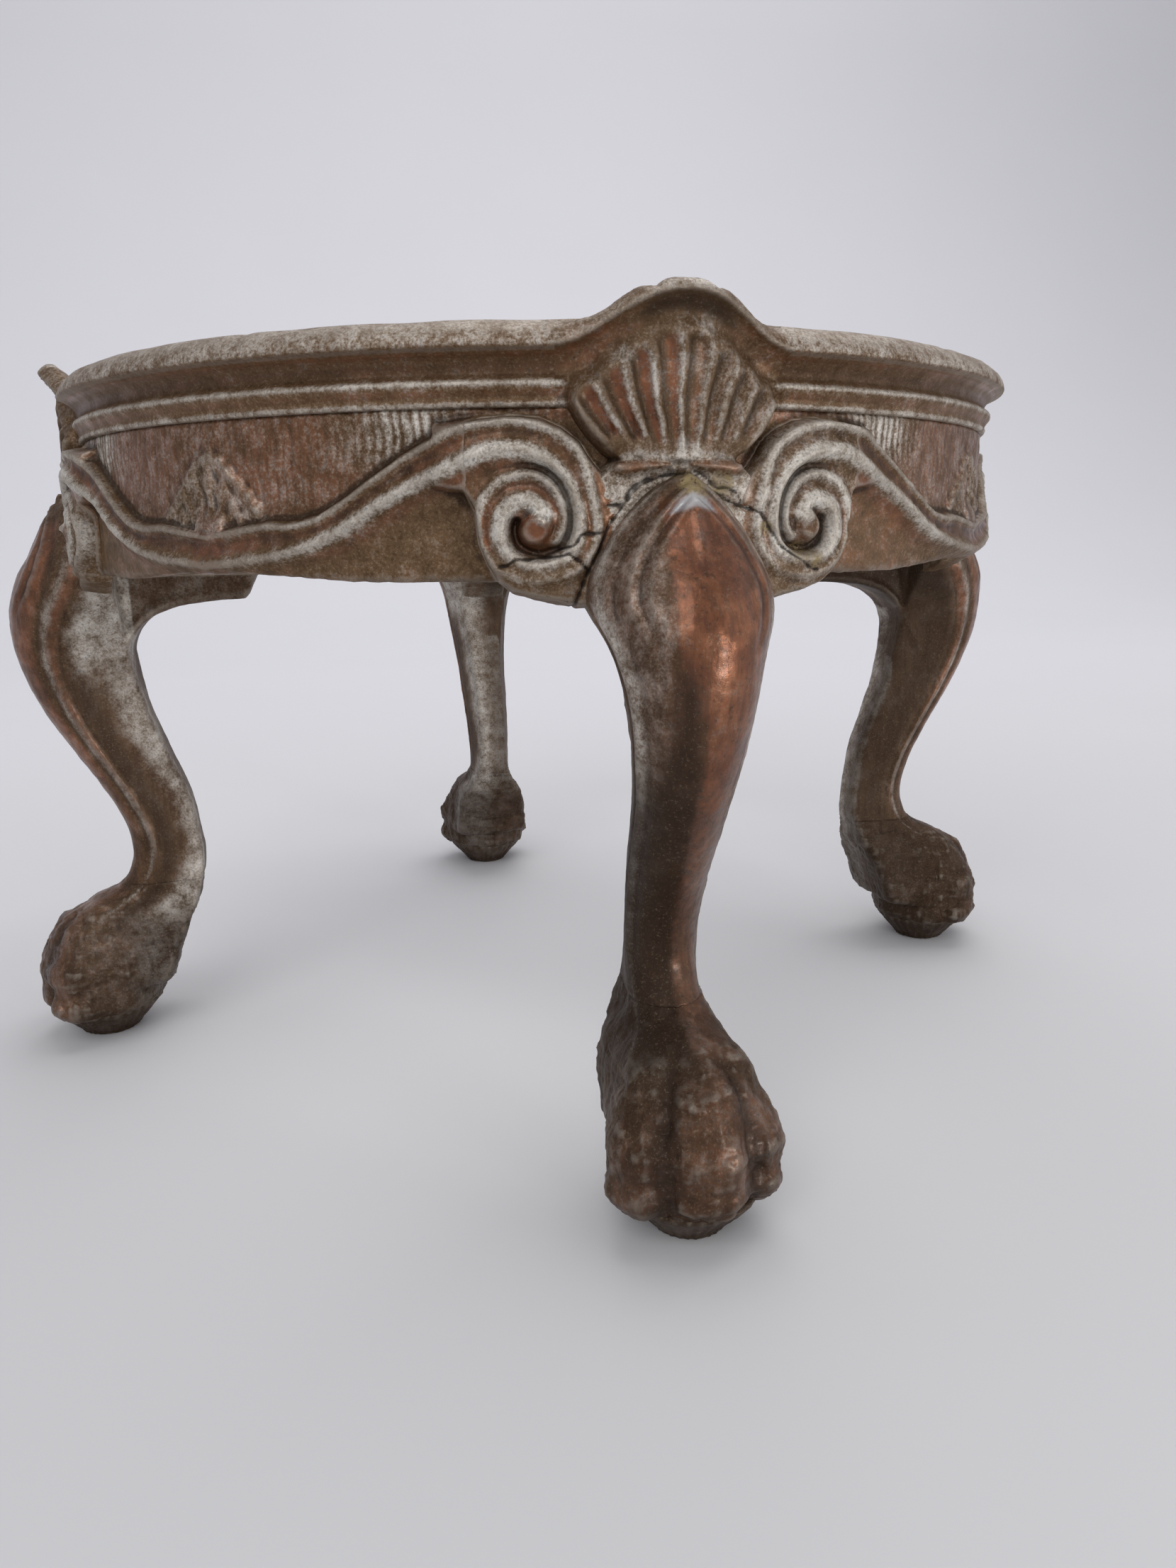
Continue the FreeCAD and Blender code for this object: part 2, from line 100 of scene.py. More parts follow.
def corner_gap(start, end, s, z):
    """Distance from points to a straight line between two corners."""
    ds, dz = end[0] - start[0], end[1] - start[1]
    t = np.clip(((s - start[0]) * ds + (z - start[1]) * dz) / (ds * ds + dz * dz), 0, 1)
    return np.hypot(s - start[0] - t * ds, z - start[1] - t * dz)


def inside(path, s, z):
    """Signed distance to a closed path of corners, positive within it."""
    gap = np.full(np.broadcast(s, z).shape, 1e9)
    within = np.zeros(gap.shape, bool)
    for start, end in zip(path, path[1:] + path[:1]):
        gap = np.minimum(gap, corner_gap(start, end, s, z))
        if start[1] != end[1]:
            crossing = (end[0] - start[0]) * (z - start[1]) / (end[1] - start[1]) + start[0]
            within ^= ((start[1] > z) != (end[1] > z)) & (s < crossing)
    return np.where(within, gap, -gap)


def rounded_path(path, cuts):
    """Points along a smooth curve through the corners of a path."""
    p = np.array([path[0], *path, path[-1]], float)
    t = np.linspace(0, 1, cuts, endpoint=False)[:, None]
    spans = [b + 0.5 * t * (c - a + t * (2 * a - 5 * b + 4 * c - d + t * (3 * (b - c) + d - a)))
             for a, b, c, d in zip(p, p[1:], p[2:], p[3:])]
    return np.vstack(spans + [p[-1:]])


class Relief:
    """A map over arc and height that fields can read between its points."""

    def __init__(self, arc, height, step=0.1):
        self.low, self.step = (arc[0], height[0]), step
        self.s = np.arange(arc[0], arc[1] + step, step)[:, None]
        self.z = np.arange(height[0], height[1] + step, step)[None, :]

    def near(self, path, cuts=5, reach=5.0):
        """Distance from the map's points to a curve through a path's corners, up to a reach."""
        best = np.full((self.s.size, self.z.size), reach)
        points = rounded_path(path, cuts)
        for start, end in zip(points, points[1:]):
            low = ((np.minimum(start, end) - reach - self.low) / self.step).astype(int).clip(0)
            high = ((np.maximum(start, end) + reach - self.low) / self.step).astype(int).clip(0)
            i, j = slice(low[0], high[0]), slice(low[1], high[1])
            best[i, j] = np.minimum(best[i, j], corner_gap(start, end, self.s[i], self.z[:, j]))
        return best

    def read(self, image, s, z):
        rows, columns = image.shape
        u = np.clip((s - self.low[0]) / self.step, 0, rows - 1.001)
        v = np.clip((z - self.low[1]) / self.step, 0, columns - 1.001)
        i, j = u.astype(np.int32), v.astype(np.int32)
        u, v = (u - i).astype(np.float32), (v - j).astype(np.float32)
        image = image.astype(np.float32)
        left = image[i, j] * (1 - v) + image[i, j + 1] * v
        right = image[i + 1, j] * (1 - v) + image[i + 1, j + 1] * v
        return left * (1 - u) + right * u


class Block:
    """A box of points on which a solid's field is worked out; inside is negative."""

    def __init__(self, low, high, step):
        self.low, self.step = np.array(low, float), step
        axes = [np.arange(a, b, step, dtype=np.float32) for a, b in zip(low, high)]
        self.x, self.y, self.z = np.meshgrid(*axes, indexing="ij", sparse=True)
        self.rho = np.hypot(self.x, self.y)
        self.arc = APRON_R * np.arctan2(self.y, self.x)


def blurred(field, reach):
    """The field averaged over a small cube, one axis after another."""
    for axis in range(3):
        total = np.zeros_like(field)
        for shift in range(-reach, reach + 1):
            total += np.roll(field, shift, axis)
        field = total / (2 * reach + 1)
    return field


def sample(field, spots):
    """Field values at spots counted in grid steps."""
    top = np.array(field.shape) - 1.001
    spots = np.clip(spots, 0, top)
    i = spots.astype(np.int32)
    t = spots - i
    value = 0
    for corner in np.ndindex(2, 2, 2):
        weight = np.prod(np.where(corner, t, 1 - t), axis=1)
        value = value + weight * field[i[:, 0] + corner[0], i[:, 1] + corner[1], i[:, 2] + corner[2]]
    return value


class Skin:
    """A surface: points, quads and what its material needs at each point."""

    def __init__(self, points, quads, tones):
        self.points, self.quads, self.tones = points, quads, tones


def piece(node, skin, turn, slot, material):
    """A mesh object that stands for a CAD node, turned about the ring's axis by degrees."""
    cos, sin = math.cos(math.radians(turn)), math.sin(math.radians(turn))
    spots = skin.points @ np.array([[cos, sin, 0], [-sin, cos, 0], [0, 0, 1]]) * MM
    mesh = bpy.data.meshes.new(node)
    mesh.from_pydata(spots.tolist(), [], skin.quads.tolist())
    mesh.polygons.foreach_set("use_smooth", [True] * len(mesh.polygons))
    for name, values in skin.tones.items():
        layer = mesh.attributes.new(name, "FLOAT", "POINT")
        layer.data.foreach_set("value", np.asarray(values, np.float32))
    mesh.materials.append(material)
    item = bpy.data.objects.new("cast_" + node, mesh)
    bpy.context.collection.objects.link(item)
    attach(item, "root")
    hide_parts(node)


# Scrolls: a thin edge line and a rounded ridge run from mid-side over each volute and wind in to its eye.
# The paths are drawn for the left of a leg, as arc and height.
EDGE_LINE = [(-52, 76.4), (-46, 77.2), (-43, 77.5), (-41, 77.4), (-39, 77.6), (-37, 78.1), (-35, 79.1),
             (-33, 80.3), (-31, 81.6), (-29, 82.8), (-27, 84.0), (-25, 85.0), (-23, 85.9), (-21, 86.6),
             (-19, 87.0), (-16.5, 87.1), (-14.5, 86.9), (-12.5, 86.2), (-11, 85.2), (-9.9, 83.9),
             (-9.2, 82.2), (-8.8, 80.3), (-8.4, 78.3), (-8.2, 76.5), (-8.6, 74.8), (-9.6, 73.2),
             (-11.2, 72.2), (-13.3, 71.7), (-15.5, 71.8), (-17.4, 72.6), (-18.9, 73.9), (-19.8, 75.4),
             (-20.0, 77.0), (-19.7, 78.6), (-18.9, 80.2), (-17.6, 81.4), (-16.1, 82.0), (-14.6, 82.1),
             (-13.2, 81.5), (-12.2, 80.5), (-11.5, 79.2), (-11.3, 77.9), (-11.5, 76.7), (-12.2, 75.6)]
RIDGE_LINE = [(-52, 73.2), (-44, 74.0), (-41, 74.5), (-38, 75.3), (-36, 76.0), (-34, 76.9), (-32, 78.0),
              (-30, 79.2), (-28, 80.3), (-26, 81.2), (-24, 82.1), (-22, 83.0), (-20, 83.8), (-18.5, 84.3),
              (-17, 84.5), (-15.2, 84.3), (-13.5, 83.6), (-12.1, 82.4), (-11.0, 80.7), (-10.4, 78.8),
              (-10.2, 77), (-10.5, 75.3), (-11.5, 74.0), (-13.2, 73.3), (-15.2, 73.4), (-16.7, 74.3),
              (-17.5, 75.7), (-17.5, 77.3), (-17.0, 78.6), (-16.0, 79.4), (-14.8, 79.5), (-13.9, 78.9),
              (-13.4, 78.1)]
GROOVE_LINE = [(-17.5, 82.6), (-15, 82.9), (-13.2, 82.4), (-11.9, 81.2), (-11.1, 79.4), (-10.9, 77.6),
               (-11.2, 76.1), (-12, 75.0), (-13.4, 74.4), (-14.8, 74.5), (-15.9, 75.2), (-16.35, 76.4),
               (-16.2, 77.5)]
EYE = (-14.2, 76.7)
SEAM = 20.6
BOSS = [(-24.5, 87.2), (-24.5, 80.6), (-21.4, 80.2), (-20.4, 78.6), (-20.3, 77), (-20.1, 75.3), (-19.3, 73.2),
        (-18.2, 71.4), (-16.8, 70.3), (-14.5, 69.6), (-12, 69.1), (-10.3, 68.7), (-7.5, 68.7), (-6.0, 71),
        (-5.4, 75), (-5.6, 79), (-7.2, 82.2), (-8.4, 83.6), (-9.6, 85.4), (-11.4, 86.8), (-13.5, 87.7),
        (-16.5, 88.0)]
HATCH_PITCH = 1.05
HATCH_DEPTH = 0.07
# How many corners of the two lines come before they turn back round the volute.
EDGE_OUTER, RIDGE_OUTER = 18, 16
BAND_LOW = curve((-52, 70.3), (-42, 70.6), (-38, 71.4), (-34.5, 72.6), (-30.7, 74.3), (-26.4, 76.6),
                 (-22.4, 79.0), (-20.6, 80.2), (-18, 81.4), (-9, 83))


class Scroll:
    """Relief of the scroll to the left of a leg, over the apron's face."""

    def __init__(self):
        self.map = Relief((-QUARTER_ARC - 0.5, 0), (66, 90))
        s, z = self.map.s, self.map.z
        edge, ridge, groove = [self.map.near(path) for path in (EDGE_LINE, RIDGE_LINE, GROOVE_LINE)]
        self.boss = inside(BOSS, s, z)
        top = np.interp(s, *zip(*EDGE_LINE[:EDGE_OUTER]))
        middle, low = np.interp(s, *zip(*RIDGE_LINE[:RIDGE_OUTER])), BAND_LOW(s)
        flank = np.clip((z - low) / (middle - low), 0, 1) ** 1.4
        band = ramp(top + 0.9 - z, 0, 0.9) * flank * (s < -12)
        mask = np.maximum(band, ramp(self.boss, -0.2, 0.7))
        eye = np.hypot(s - EYE[0], z - EYE[1])
        rise = 1.0 + 1.5 * ramp(s, -28, -19.5) + 0.6 * bump(edge, 0.6) + 1.1 * bump(ridge, 1.15)
        from_start = np.hypot(s - GROOVE_LINE[0][0], z - GROOVE_LINE[0][1])
        rise += 1.0 * ramp(1.9 - eye, 0, 1.0) - 1.1 * bump(groove, 0.5) * ramp(from_start, 0, 5)
        ground = ramp(z - top, 0.6, 1.5) * (1 - mask)
        wave = np.sin(2 * np.pi * (s + 0.15 * np.sin(z * 1.3) + 0.1 * np.sin(s * 2.9)) / HATCH_PITCH)
        self.hatch = wave * ground * ramp(88.6 - z, 0, 0.5)
        self.height = mask * rise + HATCH_DEPTH * self.hatch
        wound = ramp(7.0 - eye, 0, 1.5)
        channel = mask * ramp(ridge, 0.6, 1.3) * ramp(edge, 0.3, 0.8) * ramp(z, 72.5, 75.5)
        under = (1 - mask) * (z < middle)
        worn = bump(s + 27, 5) * ramp(z, 82, 86)
        self.copper = np.clip(0.5 * ground * (1 - 0.8 * worn) + channel * (0.55 + 0.2 * wound)
                              + 0.9 * ramp(1.6 - eye, 0, 0.5) + 0.2 * under
                              + 0.45 * flank * band * (z < middle - 0.8), 0, 1)
        self.grey = np.clip(0.75 * ground * worn * (0.5 + 0.5 * wave) + 0.15 * ground
                            + mask * bump(ridge, 0.7) * ramp(z, 71, 74) * (0.4 + 0.6 * ramp(s, -44, -34))
                            + 0.4 * mask * bump(edge, 0.5) + 0.12 * ramp(self.boss, 0, 1) * (1 - channel), 0, 1)
        # Painted shade along the volute's lower edge, which faces down; the groove round the eye is darkened
        # too.
        self.painted_shade_and_dark = np.clip(0.5 * wound * bump(groove, 0.6) + 0.3 * ramp(72.5 - z, 0, 3) * mask, 0, 1)


SCROLL = Scroll()


LEAF_ROOT = 75.0
LEAF_ANGLE = 19
LEAF_EDGE = [(0, 85.8), (1.6, 85.5), (2.9, 84.6), (5.0, 82.3), (7.0, 80.2), (8.9, 78.1), (6.5, 77.3),
             (4.6, 76.0), (2.9, 75.6), (0, 75.4), (-1, 75.4), (-1, 85.8)]


def palmette(s, z):
    """The height of the leaf and the pendant at mid-side, and how much of a spot each of the two covers."""
    side = np.abs(s)
    gap = inside(LEAF_EDGE, side, z)
    gap = gap + 0.25 * np.sin(s * 3.1 + z) * np.sin(z * 2.7)
    cover = ramp(gap, -0.3, 1.2)
    angle = np.degrees(np.arctan2(side, z - LEAF_ROOT))
    reach = np.hypot(side, z - LEAF_ROOT)
    lobes = np.cos(angle / LEAF_ANGLE * 2 * np.pi + 0.5 * np.sin(reach * 1.3))
    veins = 0.1 * lobes * ramp(reach, 2, 4.5) + 0.09 * np.sin(reach * 2.1 + s * 0.7)
    veins = veins + 0.06 * np.sin(s * 4.3 + z * 2.2)
    rim = 0.22 * bump(gap - 0.7, 0.5) * ramp(z, 77.2, 78.4)
    pendant = ramp(3.0 - side, 0, 1.2) * ramp(80 - z, 0, 2.5)
    return np.maximum(cover * (0.4 + veins + rim), pendant * 1.1), cover, pendant


def make_apron():
    """A quarter of the apron, its middle along +X."""
    relief = Relief((-QUARTER_ARC - 0.5, QUARTER_ARC + 0.5), (69, 90))
    s, z = relief.s, relief.z
    from_leg = np.abs(s) - QUARTER_ARC
    height = SCROLL.map.read(SCROLL.height, from_leg, z)
    buried = ramp(SCROLL.map.read(SCROLL.boss, from_leg, z), 0.0, 0.5) * ramp(from_leg + SEAM, 0, 0.5)
    leaf, cover, pendant = palmette(s, z)
    height = np.maximum(height * (1 - buried), leaf)
    maps = {"copper": SCROLL.map.read(SCROLL.copper, from_leg, z) * (1 - cover) + 0.3 * pendant + 0.25 * cover,
            "grey": SCROLL.map.read(SCROLL.grey, from_leg, z) * (1 - pendant) * (1 - cover) + 0.25 * cover,
            "hatch": SCROLL.map.read(SCROLL.hatch, from_leg, z) * (1 - cover) * (1 - pendant),
            # Painted shade along the apron's lower edge at mid-side, under the leaf and the pendant.
            "painted_shade_and_dark": 0.45 * ramp(74 - z, 0, 3) * ramp(-from_leg, 30, 20)}
    block = Block((43.5, -50.5, 70), (70, 50.5, 90), 0.26)
    face = APRON_R + relief.read(height, block.arc, block.z)
    bottom = 71.5 + 0.9 * ramp(QUARTER_ARC - np.abs(block.arc), 30, 48)
    field = meet(block.rho - face, APRON_R - 3.3 - block.rho, 0.3)
    field = meet(field, bottom - block.z, 0.9)
    cut = np.maximum(block.z - APRON_TOP, (np.abs(block.y) - block.x) * math.sqrt(0.5))
    looks = {name: lambda arc, z, rho, image=image: relief.read(image, arc, z) * (rho > CASTING_BACK)
             for name, image in maps.items()}
    return carved(block, field, looks, cut=cut)


def make_volute(hand, scars):
    """The wound end of a scroll; hand is -1 to the left of a leg and 1 to the right."""
    def read(image, arc, z):
        return SCROLL.map.read(image, -hand * arc, z)

    def grey(arc, z, rho):
        # Towards the bottom the bare grey fades, as painted shade on the part that faces down.
        return (1.3 * read(SCROLL.grey, arc, z) + more_grey) * (0.4 + 0.6 * ramp(z, 72, 77))

    start, end = sorted((4 * hand, 23 * hand))
    block = Block((58, start, 67.5), (72, end, 89), 0.22)
    face = block.rho - APRON_R - read(SCROLL.height, block.arc, block.z)
    field = meet(face, -read(SCROLL.boss, block.arc, block.z), 0.9)
    cut = np.maximum(64.5 - block.rho, np.abs(block.arc) - SEAM - 0.25)
    coppery, more_grey = (0.4, 0.18) if hand > 0 else (0.8, 0.0)
    looks = {"copper": lambda arc, z, rho: coppery * read(SCROLL.copper, arc, z) * ramp(rho, 66.5, 67.5),
             "grey": grey,
             "painted_shade_and_dark": lambda arc, z, rho: read(SCROLL.painted_shade_and_dark, arc, z)}
    return carved(block, field, looks, scars, cut=cut)


# Shell: a fan of eight channels in a hollow whose rolled lip is the rim's own lip, risen in a wave.
FAN_CENTRE = 74.7
CHANNELS = 8
CHANNEL_ANGLE = 9.0
CHANNEL_START = curve((0, 9.0), (4.5, 9.2), (13.5, 9.8), (22.5, 10.9), (31.5, 12.2), (40, 13.2))
CHANNEL_END = curve((0, 21.2), (4.5, 20.9), (13.5, 19.7), (22.5, 18.8), (31.5, 18.4), (40, 18.2))
HALF_FAN = [(5.8, 82.9), (7.6, 84.0), (9.2, 85.6), (10.3, 87.2), (11.0, 88.8), (11.2, 90.3), (11.0, 104)]
FAN_FACE = curve((82, 68.2), (83.5, 68.5), (85.5, 69.1), (88, 69.3), (91, 69.2), (94, 69.5), (97, 70.1))
LIP = curve((0, 98.8), (2.5, 98.4), (5, 97.3), (7, 96.2), (8.5, 95.3), (10, 94.6), (12, 94.1), (16, 94.0))
CREST = curve((0, 100.05), (1.5, 99.95), (2.4, 99.5), (2.9, 99.05), (3.3, 99.15), (4.2, 99.25), (5.2, 98.8),
              (6.6, 97.8), (7.6, 97.2), (8.6, 96.9), (9.8, 96.8), (11.2, 96.8), (16, 96.8))
RIM_FACE = curve((80, 65.8), (88.5, 65.8), (88.75, 66.35), (89.0, 66.45), (89.3, 66.3), (89.7, 66.4),
                 (90.1, 66.65), (90.5, 66.95), (90.8, 67.05), (91.1, 66.9), (91.6, 66.25), (92.0, 66.15),
                 (92.5, 66.3), (93.0, 66.7), (93.4, 67.2), (93.75, 67.8), (94.0, 68.5), (94.6, 68.5),
                 (95.1, 68.3), (95.7, 67.9), (96.3, 67.2), (96.75, 66.2), (97, 65.0), (104, 65.0))
COVE_DROP = curve((0, 0), (0.3, 0.8), (0.77, 1.4), (1.3, 1.9), (1.9, 2.25), (2.5, 2.4), (4, 2.45))
BEVEL_DROP = curve((0, 0), (0.15, 0.0), (0.8, 0.35), (1.3, 0.85), (1.8, 1.55), (2.4, 2.6))
SHELL_END = 13.2
SHELL_WEAR = 0.55
BASE_LEAF = [(7.0, 83.5), (6.9, 82.0), (5.5, 81.5), (3, 82.0), (0.7, 82.4), (0.6, 83.4), (3, 83.7)]


def make_shell(scars):
    """The shell over a leg. Beside it the skin carries on as the rim's moulding, up to SHELL_END."""
    relief = Relief((-17, 17), (72, 102))
    s, z = relief.s, relief.z
    side = np.abs(s) + 0 * z
    lip = 68.55 + 2.8 * ramp(10.5 - side, 0, 9)
    below = LIP(side) - z
    hollow = lip - np.where(below > 0, COVE_DROP(below), BEVEL_DROP(-below))
    angle = np.degrees(np.arctan2(s, z - FAN_CENTRE)) + 0.5 * np.sin(z * 0.8)
    reach = np.hypot(s, z - FAN_CENTRE)
    place = angle / CHANNEL_ANGLE
    nearest = np.clip(np.floor(place) + 0.5, 0.5 - CHANNELS / 2, CHANNELS / 2 - 0.5)
    off = np.abs(place - nearest) * 2
    turn = np.abs(nearest) * CHANNEL_ANGLE
    beside = inside(HALF_FAN + [(-a, b) for a, b in reversed(HALF_FAN)], s, z)
    above = CHANNEL_END(np.abs(angle)) + 1.6 - 0.2 * np.cos(2 * np.pi * place) - reach
    fan = np.minimum(beside, above)
    along = ramp(reach - CHANNEL_START(turn), -0.3, 1.2) * ramp(CHANNEL_END(turn) - reach, -0.2, 1.3)
    channel = along * np.clip(1 - (off / 0.74) ** 2, 0, 1)
    leaf = ramp(inside(BASE_LEAF, side, z), -0.1, 0.9)
    buds = bump(np.hypot(s, (z - 84.4) / 1.9), 0.5) + bump(np.hypot(s - 1.3, (z - 84.2) / 1.6), 0.42)
    face = FAN_FACE(z) - 0.9 * (side / 11) ** 2 - (0.4 + 0.022 * reach) * channel + 0.4 * buds
    soft = ramp(beside, -0.15, 0.8) * ramp(above, 0, 2.6)
    front = hollow + np.maximum(face - hollow, 0) * soft
    high = ramp(z, 90.6, 92.5)
    cover = ramp(fan, -0.3, 0.5) * (1 - high) + ramp(13.0 - side, 0, 2.5) * high
    ground = RIM_FACE(z)
    shape = ground + cover * (front - ground) - 0.1 * (1 - cover)
    spandrel = ramp(9.8 - side, 0, 0.8) * ramp(84.6 - 0.8 * np.clip(side - 5.5, 0, None) - z, 0, 1.2)
    height = np.maximum(shape, 65.4 + 2.9 * spandrel + 0.75 * leaf) - APRON_R
    block = Block((56, -13.8, 74), (73, 13.8, 101.2), 0.24)
    outside = APRON_R + relief.read(height, block.arc, block.z)
    back = np.minimum(np.where(block.z > 96.4, 65.6 + (block.z - 96.4), CASTING_BACK), 68.9)
    field = meet(block.rho - outside, block.z - CREST(np.abs(block.arc)), 0.8)
    field = meet(field, back - block.rho, 0.7)
    # Each channel is coppery on its right half and bare on its right edge; those on the left are the brightest.
    # The copper on a channel's right half is partly plating and partly painted light on the wall that faces the
    # light, and its left half gets painted shade.
    left = ramp(-s, -4, 3)
    open_fan = ramp(fan, 0, 1.5)
    round_fan = cover * (1 - open_fan)
    lean = (place - nearest) * 2
    stripe = along * bump(lean - 0.3, 0.42)
    copper = stripe * (0.35 + 0.6 * left) + 0.5 * leaf + 0.2 * round_fan * (z < 96)
    copper = copper + 0.4 * rim_copper(LIP_UP - below) * round_fan + rim_copper(z) * (1 - cover)
    copper = np.clip(copper, 0, 1)
    edge = ramp(-below, -0.1, 0.3)
    patch = bump(np.hypot(s - 2.6, (z - 96.2) / 0.9), 1.3) + bump(np.hypot(s + 5.6, z - 93.2), 0.9)
    grey = 0.12 * open_fan * (1 - channel) + rim_grey(z) * (1 - cover)
    grey = grey + 0.6 * along * bump(lean - 0.85, 0.24) * (0.5 + 0.5 * left)
    # The lip's bevel is bare grey, partly worn metal and partly painted light where the bevel faces up.
    grey = grey + (0.2 + 0.25 * ramp(4 - side, 0, 2)) * edge + 0.5 * spandrel * (1 - leaf)
    grey = grey + 0.8 * buds + 0.5 * patch
    grey = np.clip(grey + 0.25 * (1 - left) * channel, 0, 1)
    # Painted shade in the hollow right under the lip, and on the left half of each channel.
    painted_lip_shade = bump(below - 0.9, 0.9) * ramp(7.5 - side, 0, 4) * ramp(s, -7, -2)
    painted_shade_and_dark = 0.9 * painted_lip_shade * high + 0.45 * along * bump(lean + 0.45, 0.35) + 0.2 * open_fan
    painted_shade_and_dark = np.clip(painted_shade_and_dark + rim_painted_shade(z) * (1 - cover), 0, 1)
    looks = {"copper": lambda arc, z, rho: relief.read(copper, arc, z),
             "grey": lambda arc, z, rho: relief.read(grey, arc, z),
             "painted_shade_and_dark": lambda arc, z, rho: relief.read(painted_shade_and_dark, arc, z) * (rho > 65.5)}
    skin = carved(block, field, looks, scars, cut=np.abs(block.arc) - SHELL_END)
    skin.tones["wear"] *= SHELL_WEAR
    return skin


# Old breaks on one leg: cracks round the knee and through the volutes, with dried glue and a bare tip.
CRACKS = [
    [(-10.6, 69), (-10, 70.5), (-9.3, 72.2), (-8.6, 73.6), (-8, 74.9), (-7.5, 76.2), (-7, 77.2), (-6.3, 78.1),
     (-5.6, 79), (-4.9, 80), (-4, 80.9), (-3, 81.4), (-1.8, 81.8), (-0.5, 82.0), (0.6, 82.0), (1.8, 81.7),
     (2.6, 80.9), (3.4, 80.2), (4.2, 79.9), (5.3, 79.3), (6.2, 78.9), (7.4, 78.6), (8.5, 78.1), (9.2, 77),
     (9.8, 75.9), (10.5, 74.9), (11.5, 74.2), (12.5, 73.6), (13.5, 73), (14.5, 72.4), (15.5, 72.1)],
    [(-17.8, 73.1), (-17, 73.3), (-16, 73.9), (-15, 73.85), (-14, 73.95), (-13, 74.0), (-12, 74.15),
     (-11, 74.3), (-10.6, 73.9), (-10, 73.6), (-9.5, 73.0), (-9, 72.6)],
    [(-12, 74.8), (-11.2, 75), (-10.5, 75.2), (-9.9, 76.1), (-9.2, 76.3), (-8, 76.3), (-7.4, 76.4)],
    [(-7.2, 79), (-5.6, 79.1), (-5.1, 80.3), (-4.4, 81), (-3, 81.6)],
    [(1.5, 82.3), (2.5, 81.9), (3.3, 81.0), (4, 80.6), (5, 80.6), (6, 80.2), (6.6, 79.2)],
]
CRACK_DEPTH = 0.3
# Arc, height and size of each spot of glue.
GLUE = [(0.3, 80.9, 1.9), (4.4, 81.1, 1.7), (4.1, 79.5, 1.0), (9.0, 76.6, 1.0), (13.2, 74.0, 1.5),
        (15.0, 73.3, 1.2)]
BARE_TIP = [(-2.6, 77.9), (-1.4, 79.4), (0, 80.3), (1.2, 79.6), (2.2, 78.0), (0, 78.7)]


class Scars:
    """Maps of the cracks, the glue and the bare tip."""

    def __init__(self):
        self.map = Relief((-22, 22), (66, 90))
        s, z = self.map.s, self.map.z
        ragged = 0.07 * np.sin(s * 4 + 2 * np.sin(z * 3)) + 0.06 * np.sin(z * 5 + s * 2)
        gap = np.min([self.map.near(path, cuts=1) for path in CRACKS], axis=0)
        self.crack = bump(np.clip(gap - 0.03 + 0.6 * ragged, 0, None), 0.18)
        self.glue = np.max([bump(np.hypot(s - at, z - up), size) for at, up, size in GLUE], axis=0)
        self.bare = ramp(inside(BARE_TIP, s, z), -0.1, 0.3)


SCARS = Scars()


# Sizes of the casting lumps and the depth to which a field is kept, in grid steps; how far wear looks round.
FINE_LUMP, BROAD_LUMP = 2, 6
FIELD_STEPS = 4
WEAR_REACH = 0.7


def joined_up(field):
    """The field without lone samples whose six neighbours all have the other sign, and without corners that
    only touch: of four neighbours in a square, two opposite ones are never solid alone."""
    field = field.copy()
    core = field[1:-1, 1:-1, 1:-1]
    alone = np.ones(core.shape, bool)
    for axis in range(3):
        for step in (-1, 1):
            alone &= (np.roll(field, step, axis)[1:-1, 1:-1, 1:-1] < 0) != (core < 0)
    core[alone] *= -1
    for axis in range(3):
        level = np.moveaxis(field, axis, 0)
        corners = [level[:, :-1, :-1], level[:, :-1, 1:], level[:, 1:, 1:], level[:, 1:, :-1]]
        solid = [corner < 0 for corner in corners]
        knot = (solid[0] == solid[2]) & (solid[1] == solid[3]) & (solid[0] != solid[1])
        for corner in corners:
            corner[knot] = -np.abs(corner[knot])
    return field


def carved(block, field, looks, scars=False, *, cut, lumpy=0.03, rough=0.03):
    """The skin of a cast piece, with old breaks where scars is true. looks holds a function of arc, height and
    radius for each tone. Faces where pieces join are cut last and show no wear. lumpy and rough are the depths
    of broad and fine casting lumps."""
    field = np.broadcast_to(field, np.broadcast(block.x, block.y, block.z).shape).astype(np.float32)
    for size, amount in ((FINE_LUMP, rough), (BROAD_LUMP, lumpy)):
        lumps = blurred(rng.normal(size=field.shape).astype(np.float32), size)
        field = field + amount * lumps / lumps.std()
    looks = dict(looks)
    for name in ("crack", "glue", "bare"):
        image = getattr(SCARS, name) * scars
        looks[name] = lambda arc, z, rho, image=image: SCARS.map.read(image, arc, z)
    if scars:
        field = field + CRACK_DEPTH * SCARS.map.read(SCARS.crack, block.arc, block.z)
    limit = FIELD_STEPS * block.step
    field = np.clip(field, -limit, limit)
    body = np.clip(np.maximum(field, cut), -limit, limit).astype(np.float32)
    grid = openvdb.FloatGrid(background=limit)
    grid.copyFromArray(joined_up(body))
    spots, quads = grid.convertToQuads(0.0)
    points = spots * block.step + block.low
    arc, rho = APRON_R * np.arctan2(points[:, 1], points[:, 0]), np.hypot(points[:, 0], points[:, 1])
    tones = {name: look(arc, points[:, 2], rho) for name, look in looks.items()}
    tones["wear"] = sample(blurred(field, max(2, round(WEAR_REACH / block.step))) - field, spots)
    return Skin(points, quads, tones)


